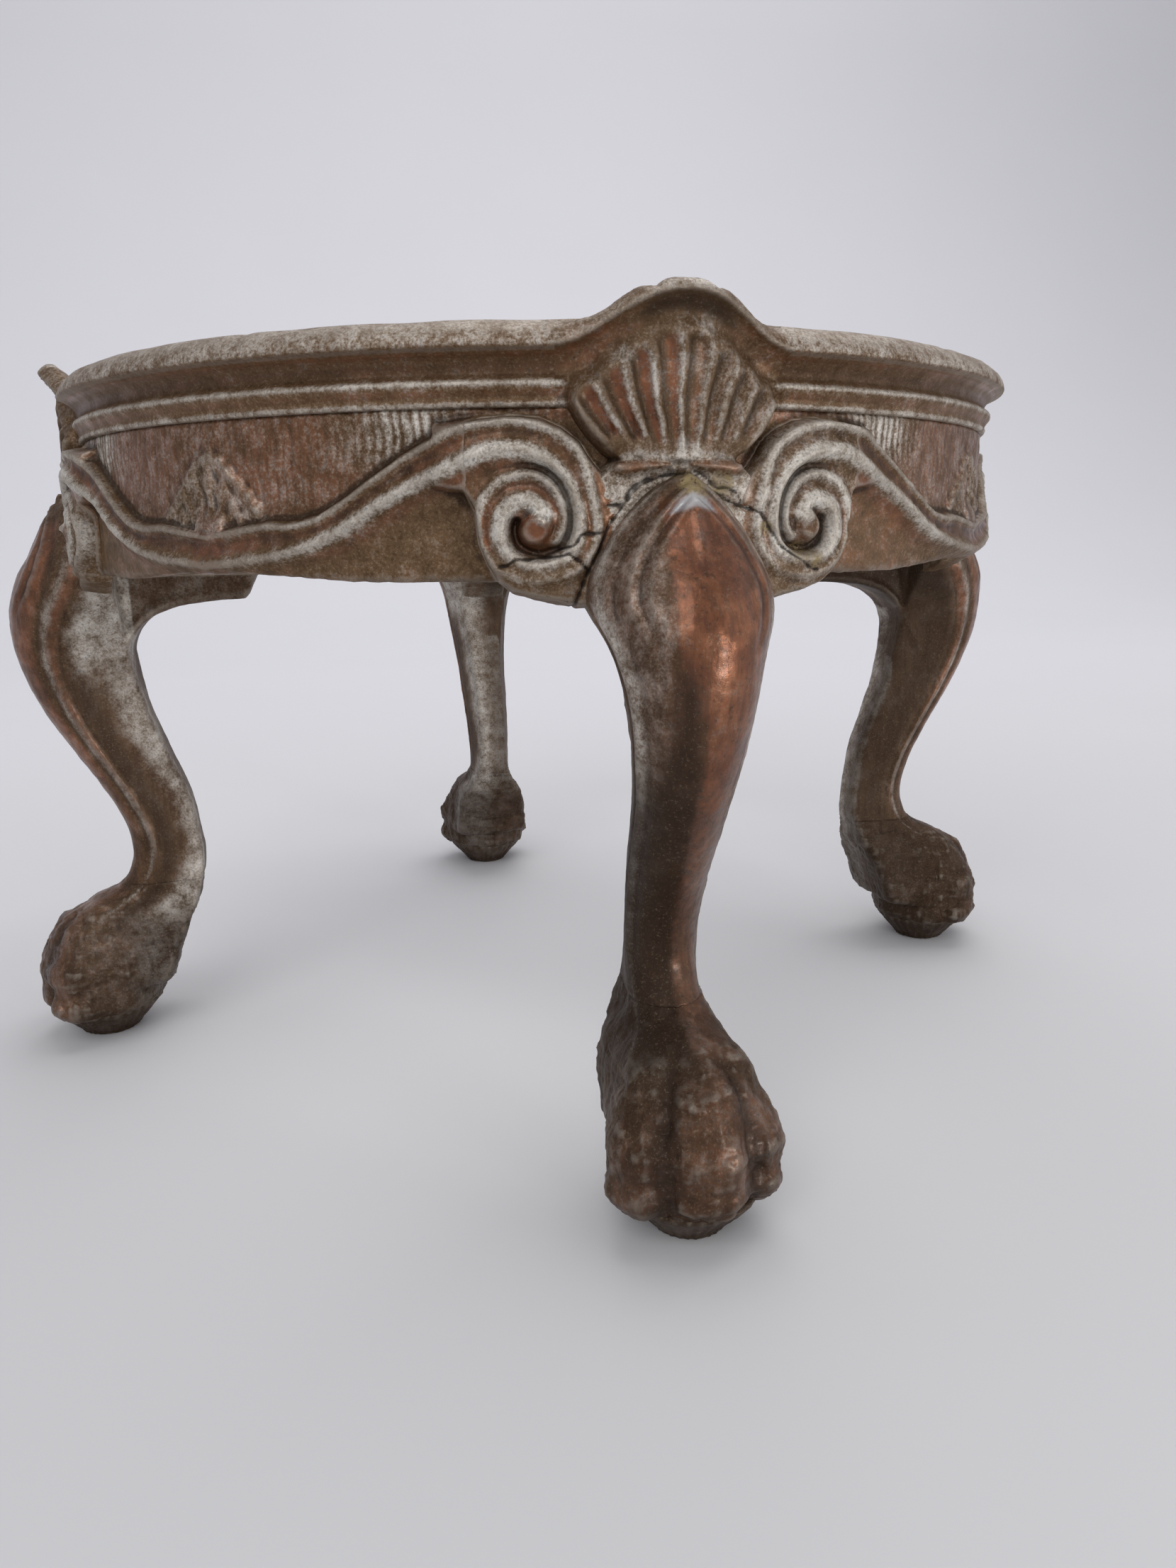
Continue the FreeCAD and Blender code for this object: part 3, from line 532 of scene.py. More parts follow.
# Leg: level sections between a front and a back line, with two worked lines along each side.
LEG_FRONT = curve((18, 77.6), (19.9, 74.8), (21.9, 70.8), (24, 68.2), (26.2, 66.9), (28.4, 66.3),
                  (30.8, 66.4), (35.5, 67.8), (40.1, 70.1), (44.7, 72.8), (49.3, 75.4), (53.7, 77.4),
                  (58, 78.8), (63, 79.4), (66.3, 79.2), (70.3, 77.9), (74.3, 75.6), (78.3, 73.4), (81, 71.8),
                  (83, 70.6))
LEG_BACK = curve((18, 58.2), (21, 57.2), (24, 56.2), (27.4, 55.8), (32, 56.2), (36.8, 56.9), (43.8, 59.3),
                 (50.6, 61.6), (57, 62.8), (63, 63.4), (72, 64.0), (83, 64.2))
LEG_HALF = curve((18, 6.6), (20, 5.5), (22, 4.7), (24, 4.3), (27, 4.2), (32, 4.3), (40, 4.75), (48, 5.25),
                 (53, 5.8), (58, 6.5), (62, 7.3), (65, 8.2), (67.7, 9.3), (69.5, 9.75), (71.5, 9.6),
                 (73.8, 8.7), (76.5, 7.0), (78.8, 5.0), (80.6, 2.9), (82.0, 0.6), (83, 0.1))
LEG_REAR = curve((18, 5.6), (20, 5.0), (22, 4.2), (24, 3.4), (27, 2.9), (32, 2.6), (40, 2.7), (48, 3.0),
                 (53, 3.4), (58, 4.1), (62, 5.1), (65, 6.5), (67.7, 8.4), (69.5, 9.4), (71.5, 9.4),
                 (73.8, 8.4), (76.5, 6.6), (78.8, 4.8), (80.6, 2.8), (82.0, 0.6), (83, 0.1))
LEG_LOW, LEG_TOP = 23.85, 82.5
BRACKET_LOW = curve((43, 67.1), (46, 67.1), (50, 67.0), (53, 66.7), (57, 65.9), (60, 64.5), (62, 62.6),
                    (63.5, 60.0), (66, 55))
BRACKET_END, BRACKET_FOOT, BRACKET_TOP = 46, 67.1, 70.85
BRACKET_HALF = 4.0


def cheek_depth(z):
    """How far back a leg's rounded front reaches before its flat sides begin."""
    return 1.05 * LEG_HALF(z) + 0.4


def knee_inset(z, y):
    """How far a spot on the knee lies within the knee's outline."""
    return 0.75 * (LEG_HALF(z) - np.abs(y))


def leg_field(block):
    """A leg without its arm and its foot."""
    z = block.z
    depth, cheek = LEG_FRONT(z) - block.x, cheek_depth(z)
    behind = np.clip((depth - cheek) / (LEG_FRONT(z) - LEG_BACK(z) - cheek), 0, 1)
    worked = 0.3 * ramp(z, 25, 31) * ramp(72 - z, 0, 5)
    half = LEG_HALF(z) + (LEG_REAR(z) - LEG_HALF(z)) * behind
    half = half - worked * (bump(depth - 0.55 * cheek, 0.5) + bump(depth - 0.95 * cheek, 0.45)
                            - bump(depth - 0.75 * cheek, 0.6))
    half = np.maximum(half, 0.1)
    ahead = np.clip((cheek - depth) / cheek, 0, None)
    oval = np.sqrt(ahead ** 2 + (block.y / half) ** 2) - 1
    field = np.where(depth < cheek, oval * np.minimum(half, cheek), np.abs(block.y) - half)
    # The pointed top of the knee has a border of lines that follow its edge, and a short keel.
    inset = knee_inset(z, block.y)
    border = bump(inset - 1.2, 0.3) - 0.8 * bump(inset - 1.9, 0.4)
    border = border + bump(inset - 2.6, 0.3) - 0.6 * bump(inset - 3.2, 0.4)
    keel = 0.3 * bump(block.y, 0.5) * ramp(79.5 - z, 0, 1.5) * ramp(z - 71, 0, 5)
    field = field + 0.25 * border * ramp(z, 64, 70) * (block.x > 67) - keel
    return meet(field, LEG_BACK(z) - block.x, 0.9)


def bracket_field(block):
    """The arm behind a leg's top, with a thicker lower edge."""
    low = BRACKET_LOW(block.x)
    edge = 0.45 * bump(block.z - low - 0.8, 0.8)
    end = BRACKET_END - 0.5 * (block.z - BRACKET_FOOT)
    field = meet(np.abs(block.y) - BRACKET_HALF - edge, low - block.z, 0.5)
    return np.maximum(meet(field, end - block.x, 0.5), np.maximum(block.z - BRACKET_TOP, block.x - 66))


def leg_share(z, rho):
    """How far back a spot on a leg lies: 0 on its front line and 1 where its flat sides begin."""
    return (LEG_FRONT(z) - rho) / cheek_depth(z)


def facing_right(arc):
    """1 on what faces right as seen from outside, 0 on what faces left."""
    return ramp(arc, -2, 2)


def leg_copper(arc, z, rho):
    """Legs are coppery on the front and between the two worked lines."""
    share = leg_share(z, rho)
    band = np.maximum(0.7 * ramp(0.55 - share, 0, 0.2), 0.55 * bump(share - 0.75, 0.12))
    return band * (0.45 + 0.55 * ramp(z, 28, 50)) * ramp(80 - z, 0, 3)


def leg_grey_and_painted_light(arc, z, rho):
    """The sides that face right as seen from outside are the barest, lightened as painted light from the right.
    """
    share = leg_share(z, rho)
    bare = 0.6 * ramp(z, 52, 62) * ramp(share, 0.85, 1.2) + 0.5 * ramp(share, 1.4, 2.0) * ramp(58 - z, 0, 6)
    bare = bare * facing_right(arc)
    behind = 0.32 * ramp(LEG_BACK(z) + 1.4 - rho, 0, 1) * ramp(66 - z, 0, 6)
    behind = np.maximum(0.15 * (z > 60) + bare * (z < 60), behind)
    return np.where(rho < 62.3, behind, bare) + 0.35 * bump(share - 0.64, 0.07)


def leg_painted_shade(arc, z, rho):
    """Painted shade: the sides that face left are darkened, most of all right under the apron."""
    share = leg_share(z, rho)
    shade = 0.5 * bump(share - 1.15, 0.3) * ramp(60 - z, 0, 6) * facing_right(arc)
    return ramp(share, 0.7, 1.2) * ((0.42 + 0.45 * ramp(z, 60, 70)) * facing_right(-arc) + 0.1) + shade


def front_copper_and_painted_light(arc, z, rho):
    """The front leg is coppery on its right and on the upper knee, and brown elsewhere; the copper on its right
    is partly plating and partly painted light on the side turned to the light.
    """
    share = leg_share(z, rho)
    start = -0.4 - 2.6 * ramp(z, 56, 66)
    side = ramp(arc - start, -0.8, 0.8) * ramp(1.1 - share, 0, 0.3)
    border = 0.75 + 0.25 * ramp(4.6 - arc, 0, 1.5)
    left = 0.38 * ramp(1.0 - share, 0, 0.3) * (0.4 + 0.6 * ramp(z, 46, 60))
    coppery = np.maximum(side * border * (0.5 + 0.5 * ramp(z, 30, 46)), left)
    return np.clip(coppery * ramp(80.5 - z, 0, 2), 0, 1)


def front_grey_and_painted_light(arc, z, rho):
    """The front leg is bare in places on its left half, its right side and its knee's right border; the grey on
    its right side is partly painted light.
    """
    share = leg_share(z, rho)
    panel = ramp(-arc, 2.2, 4.2) * ramp(1.0 - share, 0, 0.3) * (0.5 + 0.5 * ramp(z, 40, 62))
    border = bump(knee_inset(z, arc) - 1.0, 0.5) * ramp(z, 62, 68) * ramp(arc, 0, 2)
    side = 0.3 * ramp(share, 0.9, 1.2) * facing_right(arc)
    return 0.25 * panel + 0.35 * bump(share - 0.64, 0.08) + side + 0.45 * border


def front_painted_shade_and_dark(arc, z, rho):
    """A stripe of painted shade, standing for an unlit reflection, runs down the front leg left of its middle,
    and the leg darkens towards the ankle.
    """
    band = 0.9 * bump(arc + 2.0, 1.5) * ramp(66 - z, 0, 5)
    ankle = (0.5 + 0.4 * ramp(-arc, -0.5, 1.5)) * ramp(58 - z, 0, 14)
    line = 0.45 * bump(leg_share(z, rho) - 0.9, 0.1) * (z < 66)
    return np.clip(band + ankle + line, 0, 1)


LEG_LOOKS = {"copper": leg_copper, "grey": leg_grey_and_painted_light, "painted_shade_and_dark": leg_painted_shade}
FRONT_LOOKS = {"copper": front_copper_and_painted_light, "grey": front_grey_and_painted_light, "painted_shade_and_dark": front_painted_shade_and_dark}


def make_leg(scars):
    """A leg and its arm, with room for the apron's wall."""
    block = Block((43, -11.5, 22.5), (81, 11.5, 84), 0.3)
    wall = np.maximum(block.rho - APRON_R + 0.2, np.maximum(61 - block.rho, 71.6 - block.z))
    cut = np.maximum(np.maximum(LEG_LOW - block.z, block.z - LEG_TOP), -wall)
    field = join(leg_field(block), bracket_field(block), 1.2)
    return carved(block, field, FRONT_LOOKS if scars else LEG_LOOKS, scars, cut=cut, rough=0.012)


# Foot: a paw whose three toes grip a ball.
FOOT_OUT = 72.4
FOOT_END = 81.95
CLAW_TOP = 24.1
CLAW_LOW = 4.2
CLAW_HOLLOW = 7.5
WEB_R = 8.9
BALL_R = 7.65
BALL_UP = 8.1
PAD_R = 4.3
# The toes: the turn of each about the ball, and how far its middle line runs from the ball's centre.
TOES = {-62: 8.1, 0: 6.95, 62: 8.1}
TOE_TIPS = {-62: -20, 0: -36, 62: -20}
BALL_TONES = {"copper": 0.1, "grey": 0.12, "painted_shade_and_dark": 0.55}
TOE_ROUND = curve((-40, 0.9), (-32, 1.5), (-24, 1.9), (-18, 2.1), (-12, 2.35), (4, 2.2), (18, 2.5), (34, 2.5),
                  (52, 2.3), (74, 1.9))
HEEL_HALF = curve((7, 7.4), (10, 7.7), (14, 7.5), (17, 7.0), (19.5, 6.1), (22, 4.6), (24, 3.7))


def toe_line(x, y, z):
    """Soft lines that part the toes and run up over the paw."""
    around = np.degrees(np.arctan2(np.abs(y), x - FOOT_OUT + 2.5)) + 0 * z
    return bump(around - 29, 8) * ramp(z, 3, 6) * ramp(22.8 - z, 0, 5) * (x > FOOT_OUT - 2)


def foot_copper(arc, z, rho):
    """Feet are coppery on the toes."""
    return 0.16 + 0.25 * ramp(rho, 73, 79)


def foot_grey(arc, z, rho):
    """Feet are barest at the back of the heel, on the right."""
    return 0.08 + 0.25 * ramp(rho, 70, 64) * facing_right(arc)


def foot_dark_and_painted_shade(arc, z, rho):
    """Feet are darker all over, and painted shade darkens them more between the toes, at the back and low down.
    """
    line = toe_line(rho * np.cos(arc / APRON_R), rho * np.sin(arc / APRON_R), z)
    return np.clip(0.36 + 0.6 * line + 0.25 * ramp(rho, 72, 64) + 0.35 * ramp(6.0 - z, 0, 3), 0, 1)


FOOT_LOOKS = {"copper": foot_copper, "grey": foot_grey, "painted_shade_and_dark": foot_dark_and_painted_shade}


def from_ankle(upper, lower):
    """A leg's own tone at the ankle, fading into the foot's."""
    def tone(arc, z, rho):
        foot = lower(arc, z, rho)
        return foot + ramp(z, 17, 23.5) * (upper(arc, z, rho) - foot)
    return tone


def make_claw(scars):
    """A paw with its toes, hollow where it holds the ball."""
    block = Block((54, -11.6, -0.5), (83, 11.6, 26), 0.26)
    x, y, z = block.x, block.y, block.z
    leg = leg_field(block)
    shank = meet(leg, 17.0 - z, 4.0)
    back = 56.2 + np.clip(24 - z, 0, None) * 0.37
    heel = meet(np.abs(y) - HEEL_HALF(z), back - x, 1.5)
    heel = meet(meet(heel, x - 74, 2.0), 8.7 - z, 1.0)
    heel = meet(heel, z - 24, 2.0)
    from_ball = np.sqrt((x - FOOT_OUT) ** 2 + y ** 2 + (z - BALL_UP) ** 2)
    crown = np.sqrt(((x - 73) / 8.3) ** 2 + (y / 8.9) ** 2 + ((z - 10.5) / 9.2) ** 2) - 1
    crown = meet(crown * 8.0, 10.0 - z, 3.0)
    paw = join(join(shank, heel, 1.5), crown, 3.5)
    toes = 1e3
    for spread, orbit in TOES.items():
        cos, sin = math.cos(math.radians(spread)), math.sin(math.radians(spread))
        ahead = (x - FOOT_OUT) * cos + y * sin
        beside = -(x - FOOT_OUT) * sin + y * cos
        rise = np.clip(np.degrees(np.arctan2(z - BALL_UP, ahead)), TOE_TIPS[spread], 74)
        bend = np.radians(rise)
        gap = np.hypot(ahead - orbit * np.cos(bend), z - BALL_UP - orbit * np.sin(bend))
        knuckle = 0.3 * np.cos((rise - 24) * 0.185)
        knuckle = knuckle + 0.35 * np.sin(rise * 0.17 + spread) * bump(beside - 0.9, 1.6)
        toe = np.sqrt(gap ** 2 + 0.4 * beside ** 2) - TOE_ROUND(rise) - np.minimum(knuckle, 0.25)
        toes = np.minimum(toes, toe)
    web = np.maximum(from_ball - WEB_R, CLAW_LOW - z)
    field = join(join(paw, toes, 1.4), web, 1.0)
    fade = ramp(z, 19.5, 23.5)
    field = field * (1 - fade) + leg * fade
    field = field + 0.55 * toe_line(x, y, z)
    field = meet(field, CLAW_LOW - z, 1.2)
    cut = np.maximum(np.maximum(CLAW_HOLLOW - from_ball, z - CLAW_TOP), x - FOOT_END)
    upper = FRONT_LOOKS if scars else LEG_LOOKS
    looks = {name: from_ankle(upper[name], look) for name, look in FOOT_LOOKS.items()}
    return carved(block, field, looks, cut=cut, lumpy=0.13)


def make_ball():
    """The ball and its pad, ribbed round the foot."""
    block = Block((63.5, -9, -0.6), (81.5, 9, 17), 0.28)
    around = np.hypot(block.x - FOOT_OUT, block.y)
    ball = np.sqrt(around ** 2 + (block.z - BALL_UP) ** 2) - BALL_R
    cone = meet((around - 4.0 - 0.9 * block.z) * 0.74, block.z - 5.0, 1.0)
    angle = np.arctan2(block.y, block.x - FOOT_OUT)
    ribs = 0.09 * np.sin(angle * 31 + 0.6 * np.sin(angle * 5)) * ramp(6.5 - block.z, 0, 3)
    pad = join(cone, np.maximum(around - PAD_R, block.z - 1.0), 0.5) - ribs
    looks = {name: lambda arc, z, rho, level=level: level + 0 * z for name, level in BALL_TONES.items()}
    return carved(block, join(ball - ribs, pad, 1.0), looks, cut=0.02 - block.z)


# Rim: a turned moulding, given as radius and height. Its tones go by height.
RIM_PROFILE = [(62.5, 88.6), (66.2, 88.6), (66.35, 88.75), (66.45, 89.0), (66.3, 89.3), (66.4, 89.7),
               (66.65, 90.1), (66.95, 90.5), (67.05, 90.8), (66.9, 91.1), (66.55, 91.35), (66.25, 91.6),
               (66.15, 92.0), (66.3, 92.5), (66.7, 93.0), (67.2, 93.4), (67.8, 93.75), (68.3, 93.93),
               (68.5, 94.02), (68.58, 94.2), (68.5, 94.6), (68.3, 95.1), (67.9, 95.7), (67.2, 96.3),
               (66.2, 96.75), (65.0, 96.97), (64.2, 97.0), (63.3, 96.8), (62.8, 96.4), (62.55, 95.9),
               (62.5, 95.0)]
RIM_TURNS = 720
RIM_MIDDLE = (64.5, 92.5)
NICKS = 26


def rim_copper(z):
    return 0.45 * bump(z - 89.9, 0.4) + 0.5 * bump(z - 93.5, 0.3) + 0.4 * bump(z - 92.3, 0.7)


def rim_grey(z):
    return 0.75 * bump(z - 90.85, 0.3) + 0.6 * bump(z - 88.85, 0.3) + 0.4 * ramp(z, 93.9, 94.2)


# Painted shade in the cove under the rim's lip.
def rim_painted_shade(z):
    return 0.15 * bump(z - 92.8, 0.9)


def make_rim():
    """The rim's moulding, turned; its edges wander a little, as a worn casting's do."""
    ring, count = np.array(RIM_PROFILE), RIM_TURNS
    spin = np.linspace(0, 2 * np.pi, count, endpoint=False)
    wander = sum(rng.normal(0, 0.02) * np.sin(k * spin + rng.uniform(0, 6)) for k in range(3, 40))
    nicks = sum(rng.uniform(0.1, 0.4) * bump(np.angle(np.exp(1j * (spin - at))), rng.uniform(0.008, 0.03))
                for at in rng.uniform(0, 2 * np.pi, NICKS))
    high = ramp(ring[:, 1], 94, 96.5) * ramp(ring[:, 0], 62, 64)
    bead = bump(ring[:, 1] - 90.6, 0.5) * (ring[:, 0] > 66)
    radius = ring[None, :, 0] + (0.5 * wander[:, None] - 0.6 * nicks[:, None]) * (high + bead)[None, :]
    radius = np.minimum(radius, RIM_OUT)
    height = ring[None, :, 1] + np.minimum(0.4 * wander[:, None] - nicks[:, None] * 0.5, 0) * high[None, :]
    # Under each shell the moulding keeps back, so that it never shows through the shell's channels.
    from_leg = APRON_R * np.abs((spin + np.pi / 4) % (np.pi / 2) - np.pi / 4)
    radius = np.minimum(radius, 65.3 + 4 * ramp(from_leg, 11.3, 12.4)[:, None])
    spots = np.stack([radius * np.cos(spin)[:, None], radius * np.sin(spin)[:, None], height], -1)
    steps = len(ring)
    i, j = np.meshgrid(np.arange(count), np.arange(steps), indexing="ij")
    right, up = (i + 1) % count, (j + 1) % steps
    quads = np.stack([i * steps + j, right * steps + j, right * steps + up, i * steps + up], -1).reshape(-1, 4)
    turn = np.roll(ring, -1, 0) + np.roll(ring, 1, 0) - 2 * ring
    outward = ring - np.array(RIM_MIDDLE)
    worn = -(turn * outward).sum(1) / np.hypot(*outward.T)
    face = ring[:, 0] > 65
    tones = {"wear": np.tile(np.clip(worn, -0.12, 0.16), count),
             "copper": np.tile(rim_copper(ring[:, 1]) * face, count),
             "grey": np.tile(np.where(face, rim_grey(ring[:, 1]), 0.42), count),
             "painted_shade_and_dark": np.tile(rim_painted_shade(ring[:, 1]) * face, count)}
    return Skin(spots.reshape(-1, 3), quads, tones)


# Materials: bare white metal under a worn copper plating with a brown patina. Colours are web codes.
# One of these tints, the near-black brown 2b1e15, is laid as painted shade.
TINTS = {"stain": "77604a", "deep copper": "663c28", "copper": "8f5b3c", "deep grey": "85796a",
         "grey": "e2ddd5", "streak": "3a2a1e", "crest": "a89e92", "painted shade": "2b1e15", "hatch": "33241a",
         "hollow": "291a10", "pit": "2f2115", "dust": "93856f", "glue": "8a7a58", "bare": "b4b3b4",
         "crack": "20160f"}


def node(tree, kind, links=None, **settings):
    """A shader node; links gives what feeds each input, a socket or a constant."""
    item = tree.nodes.new("ShaderNode" + kind)
    for name, setting in settings.items():
        setattr(item, name, setting)
    for name, feed in (links or {}).items():
        socket = item.inputs[name]
        if isinstance(feed, bpy.types.NodeSocket):
            tree.links.new(feed, socket)
        else:
            socket.default_value = feed
    return item


def mixed(tree, factor, first, second):
    return node(tree, "Mix", {0: factor, 6: first, 7: second}, data_type="RGBA").outputs[2]


def sums(tree, operation, first, second):
    return node(tree, "Math", {0: first, 1: second}, operation=operation).outputs[0]


def faded(tree, feed, low, high):
    links = {"Value": feed, "From Min": low, "From Max": high}
    return node(tree, "MapRange", links, interpolation_type="SMOOTHSTEP").outputs["Result"]


def rgb(text):
    """A colour written as a web code, in the linear values that shaders take."""
    parts = [int(text[i:i + 2], 16) / 255 for i in (0, 2, 4)]
    return tuple(p / 12.92 if p < 0.04045 else ((p + 0.055) / 1.055) ** 2.4 for p in parts) + (1,)


def plated_metal(name, deep, light, streaks=0.0, fine=0.85):
    """Worn copper plating: bare grey on crests, copper on smooth ground, brown to black in hollows, and painted
    shade wherever a piece's tones ask for it.
    deep and light are the patina's two browns; streaks is the strength of upright brush lines, and fine
    the share of small specks in how the grey breaks up."""
    material = bpy.data.materials.new(name)
    material.use_nodes = True
    tree = material.node_tree
    tree.nodes.clear()
    spot = node(tree, "TexCoord").outputs["Object"]

    def noise(scale, detail, rough, vector=spot):
        links = {"Vector": vector, "Scale": scale, "Detail": detail, "Roughness": rough}
        return node(tree, "TexNoise", links).outputs[0]

    def tone(key):
        return node(tree, "Attribute", attribute_name=key).outputs["Fac"]

    def times(first, second):
        return sums(tree, "MULTIPLY", first, second)

    def less(first, second):
        return sums(tree, "SUBTRACT", first, second)

    def plus(first, second, share):
        return sums(tree, "ADD", first, times(second, share))

    def fade(feed, low, high):
        return faded(tree, feed, low, high)

    def spread(amount, pattern, strength, soft):
        """An amount from 0 to 1 broken up by a pattern round 0.5."""
        return fade(plus(amount, less(pattern, 0.5), strength), 0.5 - soft, 0.5 + soft)

    broad, patches = noise(75.0, 4.0, 0.6), noise(430.0, 4.0, 0.6)
    specks, grain = noise(1400.0, 3.0, 0.7), noise(3600.0, 2.0, 0.7)
    upright = node(tree, "Mapping", {"Vector": spot, "Scale": (1.0, 1.0, 0.09)}).outputs[0]
    lines = noise(1500.0, 3.0, 0.6, upright)
    mottle = plus(times(patches, 0.3), plus(times(specks, 0.4), grain, 0.3), 1.0)
    soft = plus(times(broad, 0.55), patches, 0.45)
    brown = mixed(tree, fade(mottle, 0.36, 0.64), rgb(deep), rgb(light))
    brown = mixed(tree, times(fade(broad, 0.42, 0.66), 0.35), brown, rgb(TINTS["stain"]))
    orange = mixed(tree, fade(soft, 0.34, 0.66), rgb(TINTS["deep copper"]), rgb(TINTS["copper"]))
    metal = mixed(tree, fade(mottle, 0.36, 0.64), rgb(TINTS["deep grey"]), rgb(TINTS["grey"]))
    wear = tone("wear")
    copper_at = spread(tone("copper"), soft, 1.7, 0.42)
    grey_at = spread(tone("grey"), plus(times(mottle, fine), soft, 1 - fine), 1.2 + 1.6 * fine, 0.5)
    crest = times(fade(plus(wear, less(specks, 0.5), 0.2), 0.05, 0.22), 0.45)
    # Each layer lies over those before it, as thick as its first value says.
    layers = [(copper_at, orange),
              (times(fade(lines, 0.42, 0.6), streaks), rgb(TINTS["streak"])),
              (grey_at, metal),
              (crest, rgb(TINTS["crest"])),
              # painted shade, wherever a piece's tones ask for it
              (times(spread(tone("painted_shade_and_dark"), mottle, 1.6, 0.5), 0.8), rgb(TINTS["painted shade"])),
              (times(fade(tone("hatch"), 0.0, -1.0), 0.28), rgb(TINTS["hatch"])),
              (times(fade(times(wear, -1.0), 0.02, 0.2), 0.75), rgb(TINTS["hollow"])),
              (times(fade(specks, 0.55, 0.7), 0.5), rgb(TINTS["pit"])),
              (times(fade(grain, 0.56, 0.74), 0.25), rgb(TINTS["dust"])),
              (times(fade(tone("glue"), 0.4, 0.8), fade(mottle, 0.42, 0.56)), rgb(TINTS["glue"])),
              (times(tone("bare"), 0.85), rgb(TINTS["bare"])),
              (times(fade(tone("crack"), 0.3, 1.0), 0.9), rgb(TINTS["crack"]))]
    colour = brown
    for amount, tint in layers:
        colour = mixed(tree, amount, colour, tint)
    rough = less(plus(0.44, specks, 0.22), times(copper_at, 0.2))
    shine = plus(0.42, sums(tree, "MAXIMUM", copper_at, crest), 0.35)
    calm = less(0.45, times(copper_at, 0.36))
    pits = node(tree, "Bump", {"Strength": calm, "Distance": 0.00022, "Height": specks}).outputs[0]
    links = {"Strength": 0.25, "Distance": 0.0004, "Height": patches, "Normal": pits}
    skin = node(tree, "Bump", links).outputs[0]
    links = {"Base Color": colour, "Metallic": shine, "Roughness": rough, "Normal": skin,
             "Specular IOR Level": 0.22, "Coat Weight": times(copper_at, 0.45), "Coat Roughness": 0.26}
    node(tree, "OutputMaterial", {0: node(tree, "BsdfPrincipled", links).outputs[0]})
    return material


RIM_METAL = plated_metal("rim_metal", "573f2a", "80664c")
APRON_METAL = plated_metal("apron_metal", "4f3b27", "7a6046")
LEG_METAL = plated_metal("leg_metal", "453122", "654e3a", 0.35, 0.4)
FOOT_METAL = plated_metal("foot_metal", "38271a", "55402c", 0.3, 0.5)

piece("rim_ring", make_rim(), 0, "rim_metal", RIM_METAL)
apron = make_apron()
for place, turn in APRONS.items():
    piece(place + "_apron", apron, turn, "apron_metal", APRON_METAL)
ball = make_ball()


def leg_skins(scars):
    """All pieces of one leg, with the slot and the metal of each."""
    return {"_leg": (make_leg(scars), "leg_metal", LEG_METAL),
            "_leg_shell": (make_shell(scars), "apron_metal", APRON_METAL),
            "_leg_volute_left": (make_volute(-1, scars), "apron_metal", APRON_METAL),
            "_leg_volute_right": (make_volute(1, scars), "apron_metal", APRON_METAL),
            "_claw_foot": (make_claw(scars), "foot_metal", FOOT_METAL),
            "_foot_ball": (ball, "foot_metal", FOOT_METAL)}


sound, broken = leg_skins(False), leg_skins(True)
for side, turn in LEGS.items():
    for ending, (skin, slot, metal) in (broken if side == "front" else sound).items():
        piece(side + ending, skin, turn, slot, metal)


# Studio, in metres: one pale sweep of paper, the photograph's camera, and soft light from above and the front
# left with a little from the right.
SWEEP_NEAR, SWEEP_BEND, SWEEP_ROUND, SWEEP_TOP, SWEEP_HALF = -3.0, 0.5, 0.6, 3.0, 4
LENS, SENSOR = 25.0, 36
CAMERA_PLACE = (-0.0372, -0.1762, 0.0772)
CAMERA_RIGHT = (0.9688, -0.2476, -0.0140)
CAMERA_DOWN = (-0.0706, -0.2214, -0.9726)
CAMERA_AHEAD = (0.2377, 0.9432, -0.2320)
SKY_STRENGTH = 0.62


def paper():
    """White paper, a little lighter towards the back as painted light."""
    material = bpy.data.materials.new("paper")
    material.use_nodes = True
    tree = material.node_tree
    shader = tree.nodes["Principled BSDF"]
    spot = node(tree, "TexCoord").outputs["Object"]
    fibre = node(tree, "TexNoise", {"Vector": spot, "Scale": 9.0, "Detail": 3.0}).outputs[0]
    depth = node(tree, "SeparateXYZ", {0: spot}).outputs["Y"]
    near = mixed(tree, fibre, rgb("cbcbcc"), rgb("cececf"))
    far = mixed(tree, fibre, rgb("dddce0"), rgb("e0dfe3"))
    tree.links.new(mixed(tree, faded(tree, depth, -0.25, 0.55), near, far), shader.inputs["Base Color"])
    shader.inputs["Roughness"].default_value = 0.9
    return material


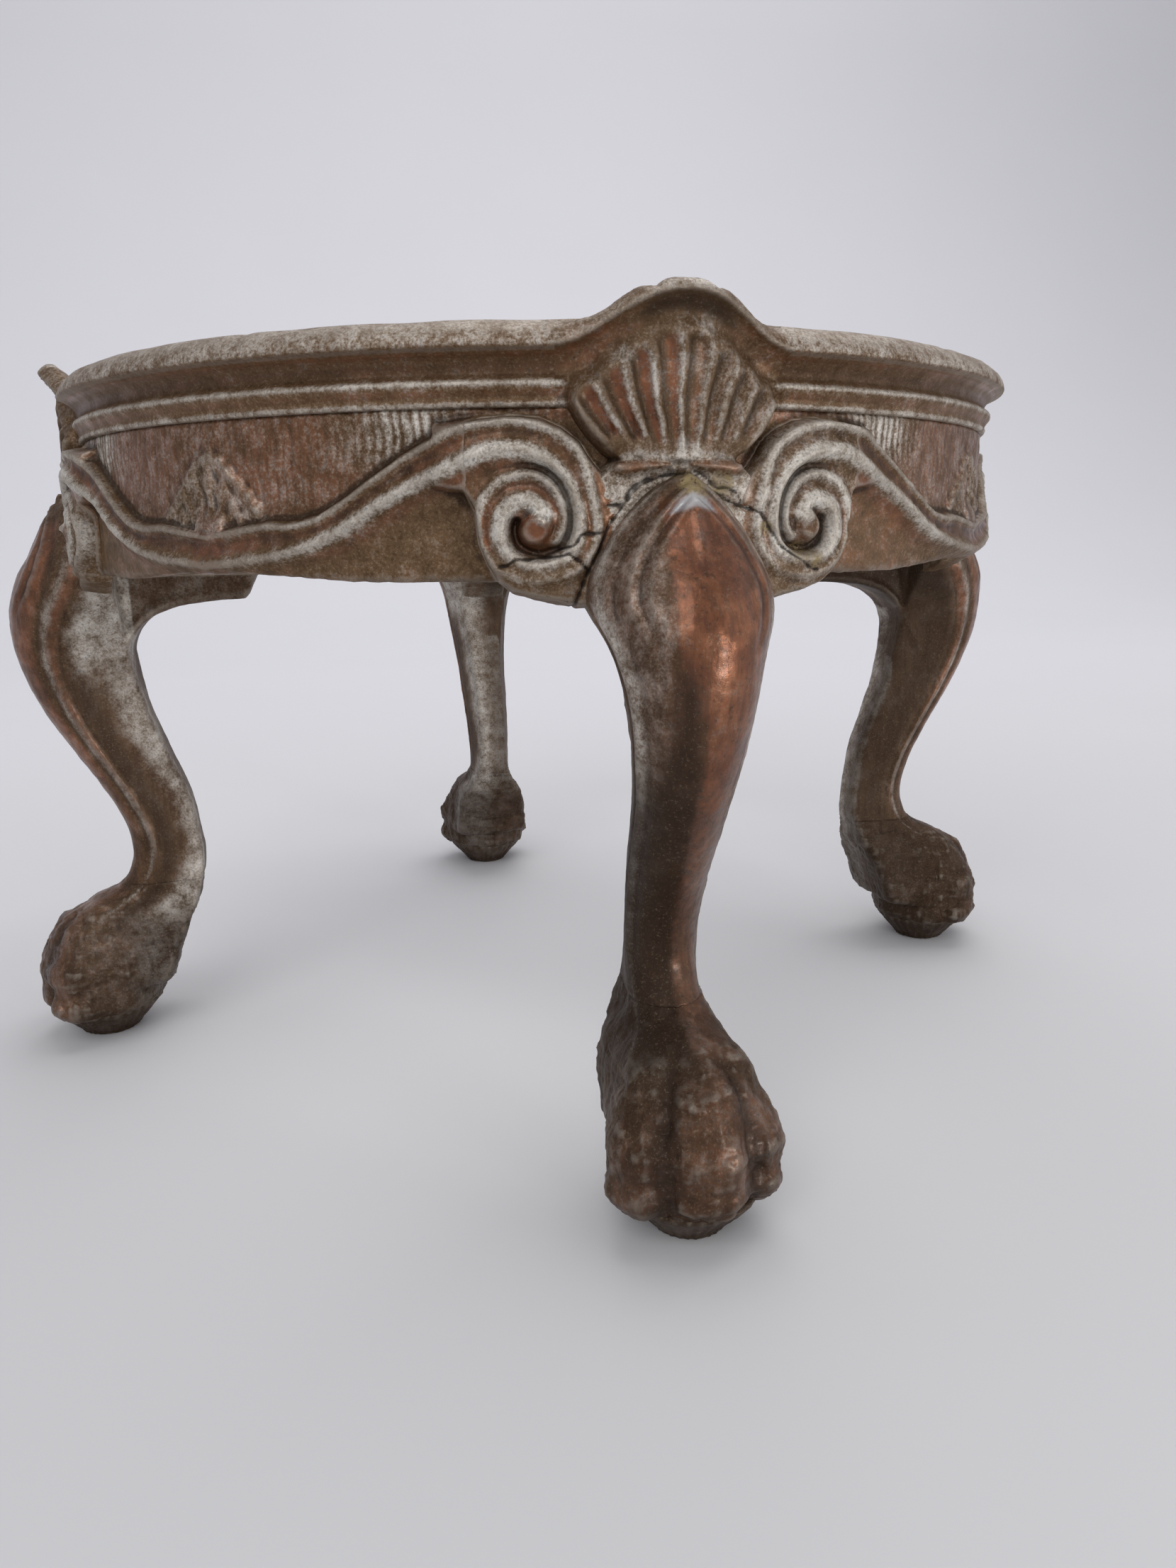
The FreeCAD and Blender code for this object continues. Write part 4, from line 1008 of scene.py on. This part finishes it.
def sweep():
    """A floor that bends up into a backdrop."""
    steps = [(SWEEP_NEAR, 0.0), (SWEEP_BEND, 0.0)]
    steps += [(SWEEP_BEND + SWEEP_ROUND * math.sin(t), SWEEP_ROUND - SWEEP_ROUND * math.cos(t))
              for t in np.linspace(0.1, math.pi / 2, 16)]
    steps += [(SWEEP_BEND + SWEEP_ROUND, SWEEP_TOP)]
    spots, quads = [], []
    for i, (y, z) in enumerate(steps):
        spots += [(-SWEEP_HALF, y, z), (SWEEP_HALF, y, z)]
        if i:
            quads.append((2 * i - 2, 2 * i - 1, 2 * i + 1, 2 * i))
    mesh = bpy.data.meshes.new("sweep")
    mesh.from_pydata(spots, [], quads)
    mesh.polygons.foreach_set("use_smooth", [True] * len(quads))
    mesh.materials.append(paper())
    item = bpy.data.objects.new("sweep", mesh)
    bpy.context.collection.objects.link(item)


def lamp(name, place, target, size, power, spread=180):
    """A square lamp at a place, turned to a target; power is in watts and spread in degrees."""
    data = bpy.data.lights.new(name, "AREA")
    data.size = size
    data.spread = math.radians(spread)
    data.energy = power
    item = bpy.data.objects.new(name, data)
    item.location = place
    item.rotation_euler = (Vector(target) - Vector(place)).to_track_quat("-Z", "Y").to_euler()
    bpy.context.collection.objects.link(item)


def camera():
    data = bpy.data.cameras.new("camera")
    data.sensor_width = SENSOR
    data.lens = LENS
    data.clip_start = 0.01
    item = bpy.data.objects.new("camera", data)
    turn = Matrix((CAMERA_RIGHT, [-d for d in CAMERA_DOWN], [-a for a in CAMERA_AHEAD])).transposed()
    item.matrix_world = Matrix.Translation(CAMERA_PLACE) @ turn.to_4x4()
    bpy.context.collection.objects.link(item)
    bpy.context.scene.camera = item


def world():
    sky = bpy.data.worlds.new("studio")
    sky.use_nodes = True
    light = sky.node_tree.nodes["Background"]
    light.inputs[0].default_value = rgb("e4e5ea")
    light.inputs[1].default_value = SKY_STRENGTH
    bpy.context.scene.world = sky


sweep()
lamp("right", (0.62, -0.30, 0.26), (0, 0, 0.06), 0.6, 0.5)
lamp("low", (0.33, -0.60, 0.06), (0, -0.07, 0.065), 0.1, 0.05, 40)
lamp("front", (-0.45, -0.75, 0.75), (0, 0, 0.06), 0.7, 3.5)
lamp("top", (0.3, 0.35, 1.25), (0.1, 0.12, 0.05), 1.2, 8)
camera()
world()
bpy.context.scene.view_settings.view_transform = "Standard"
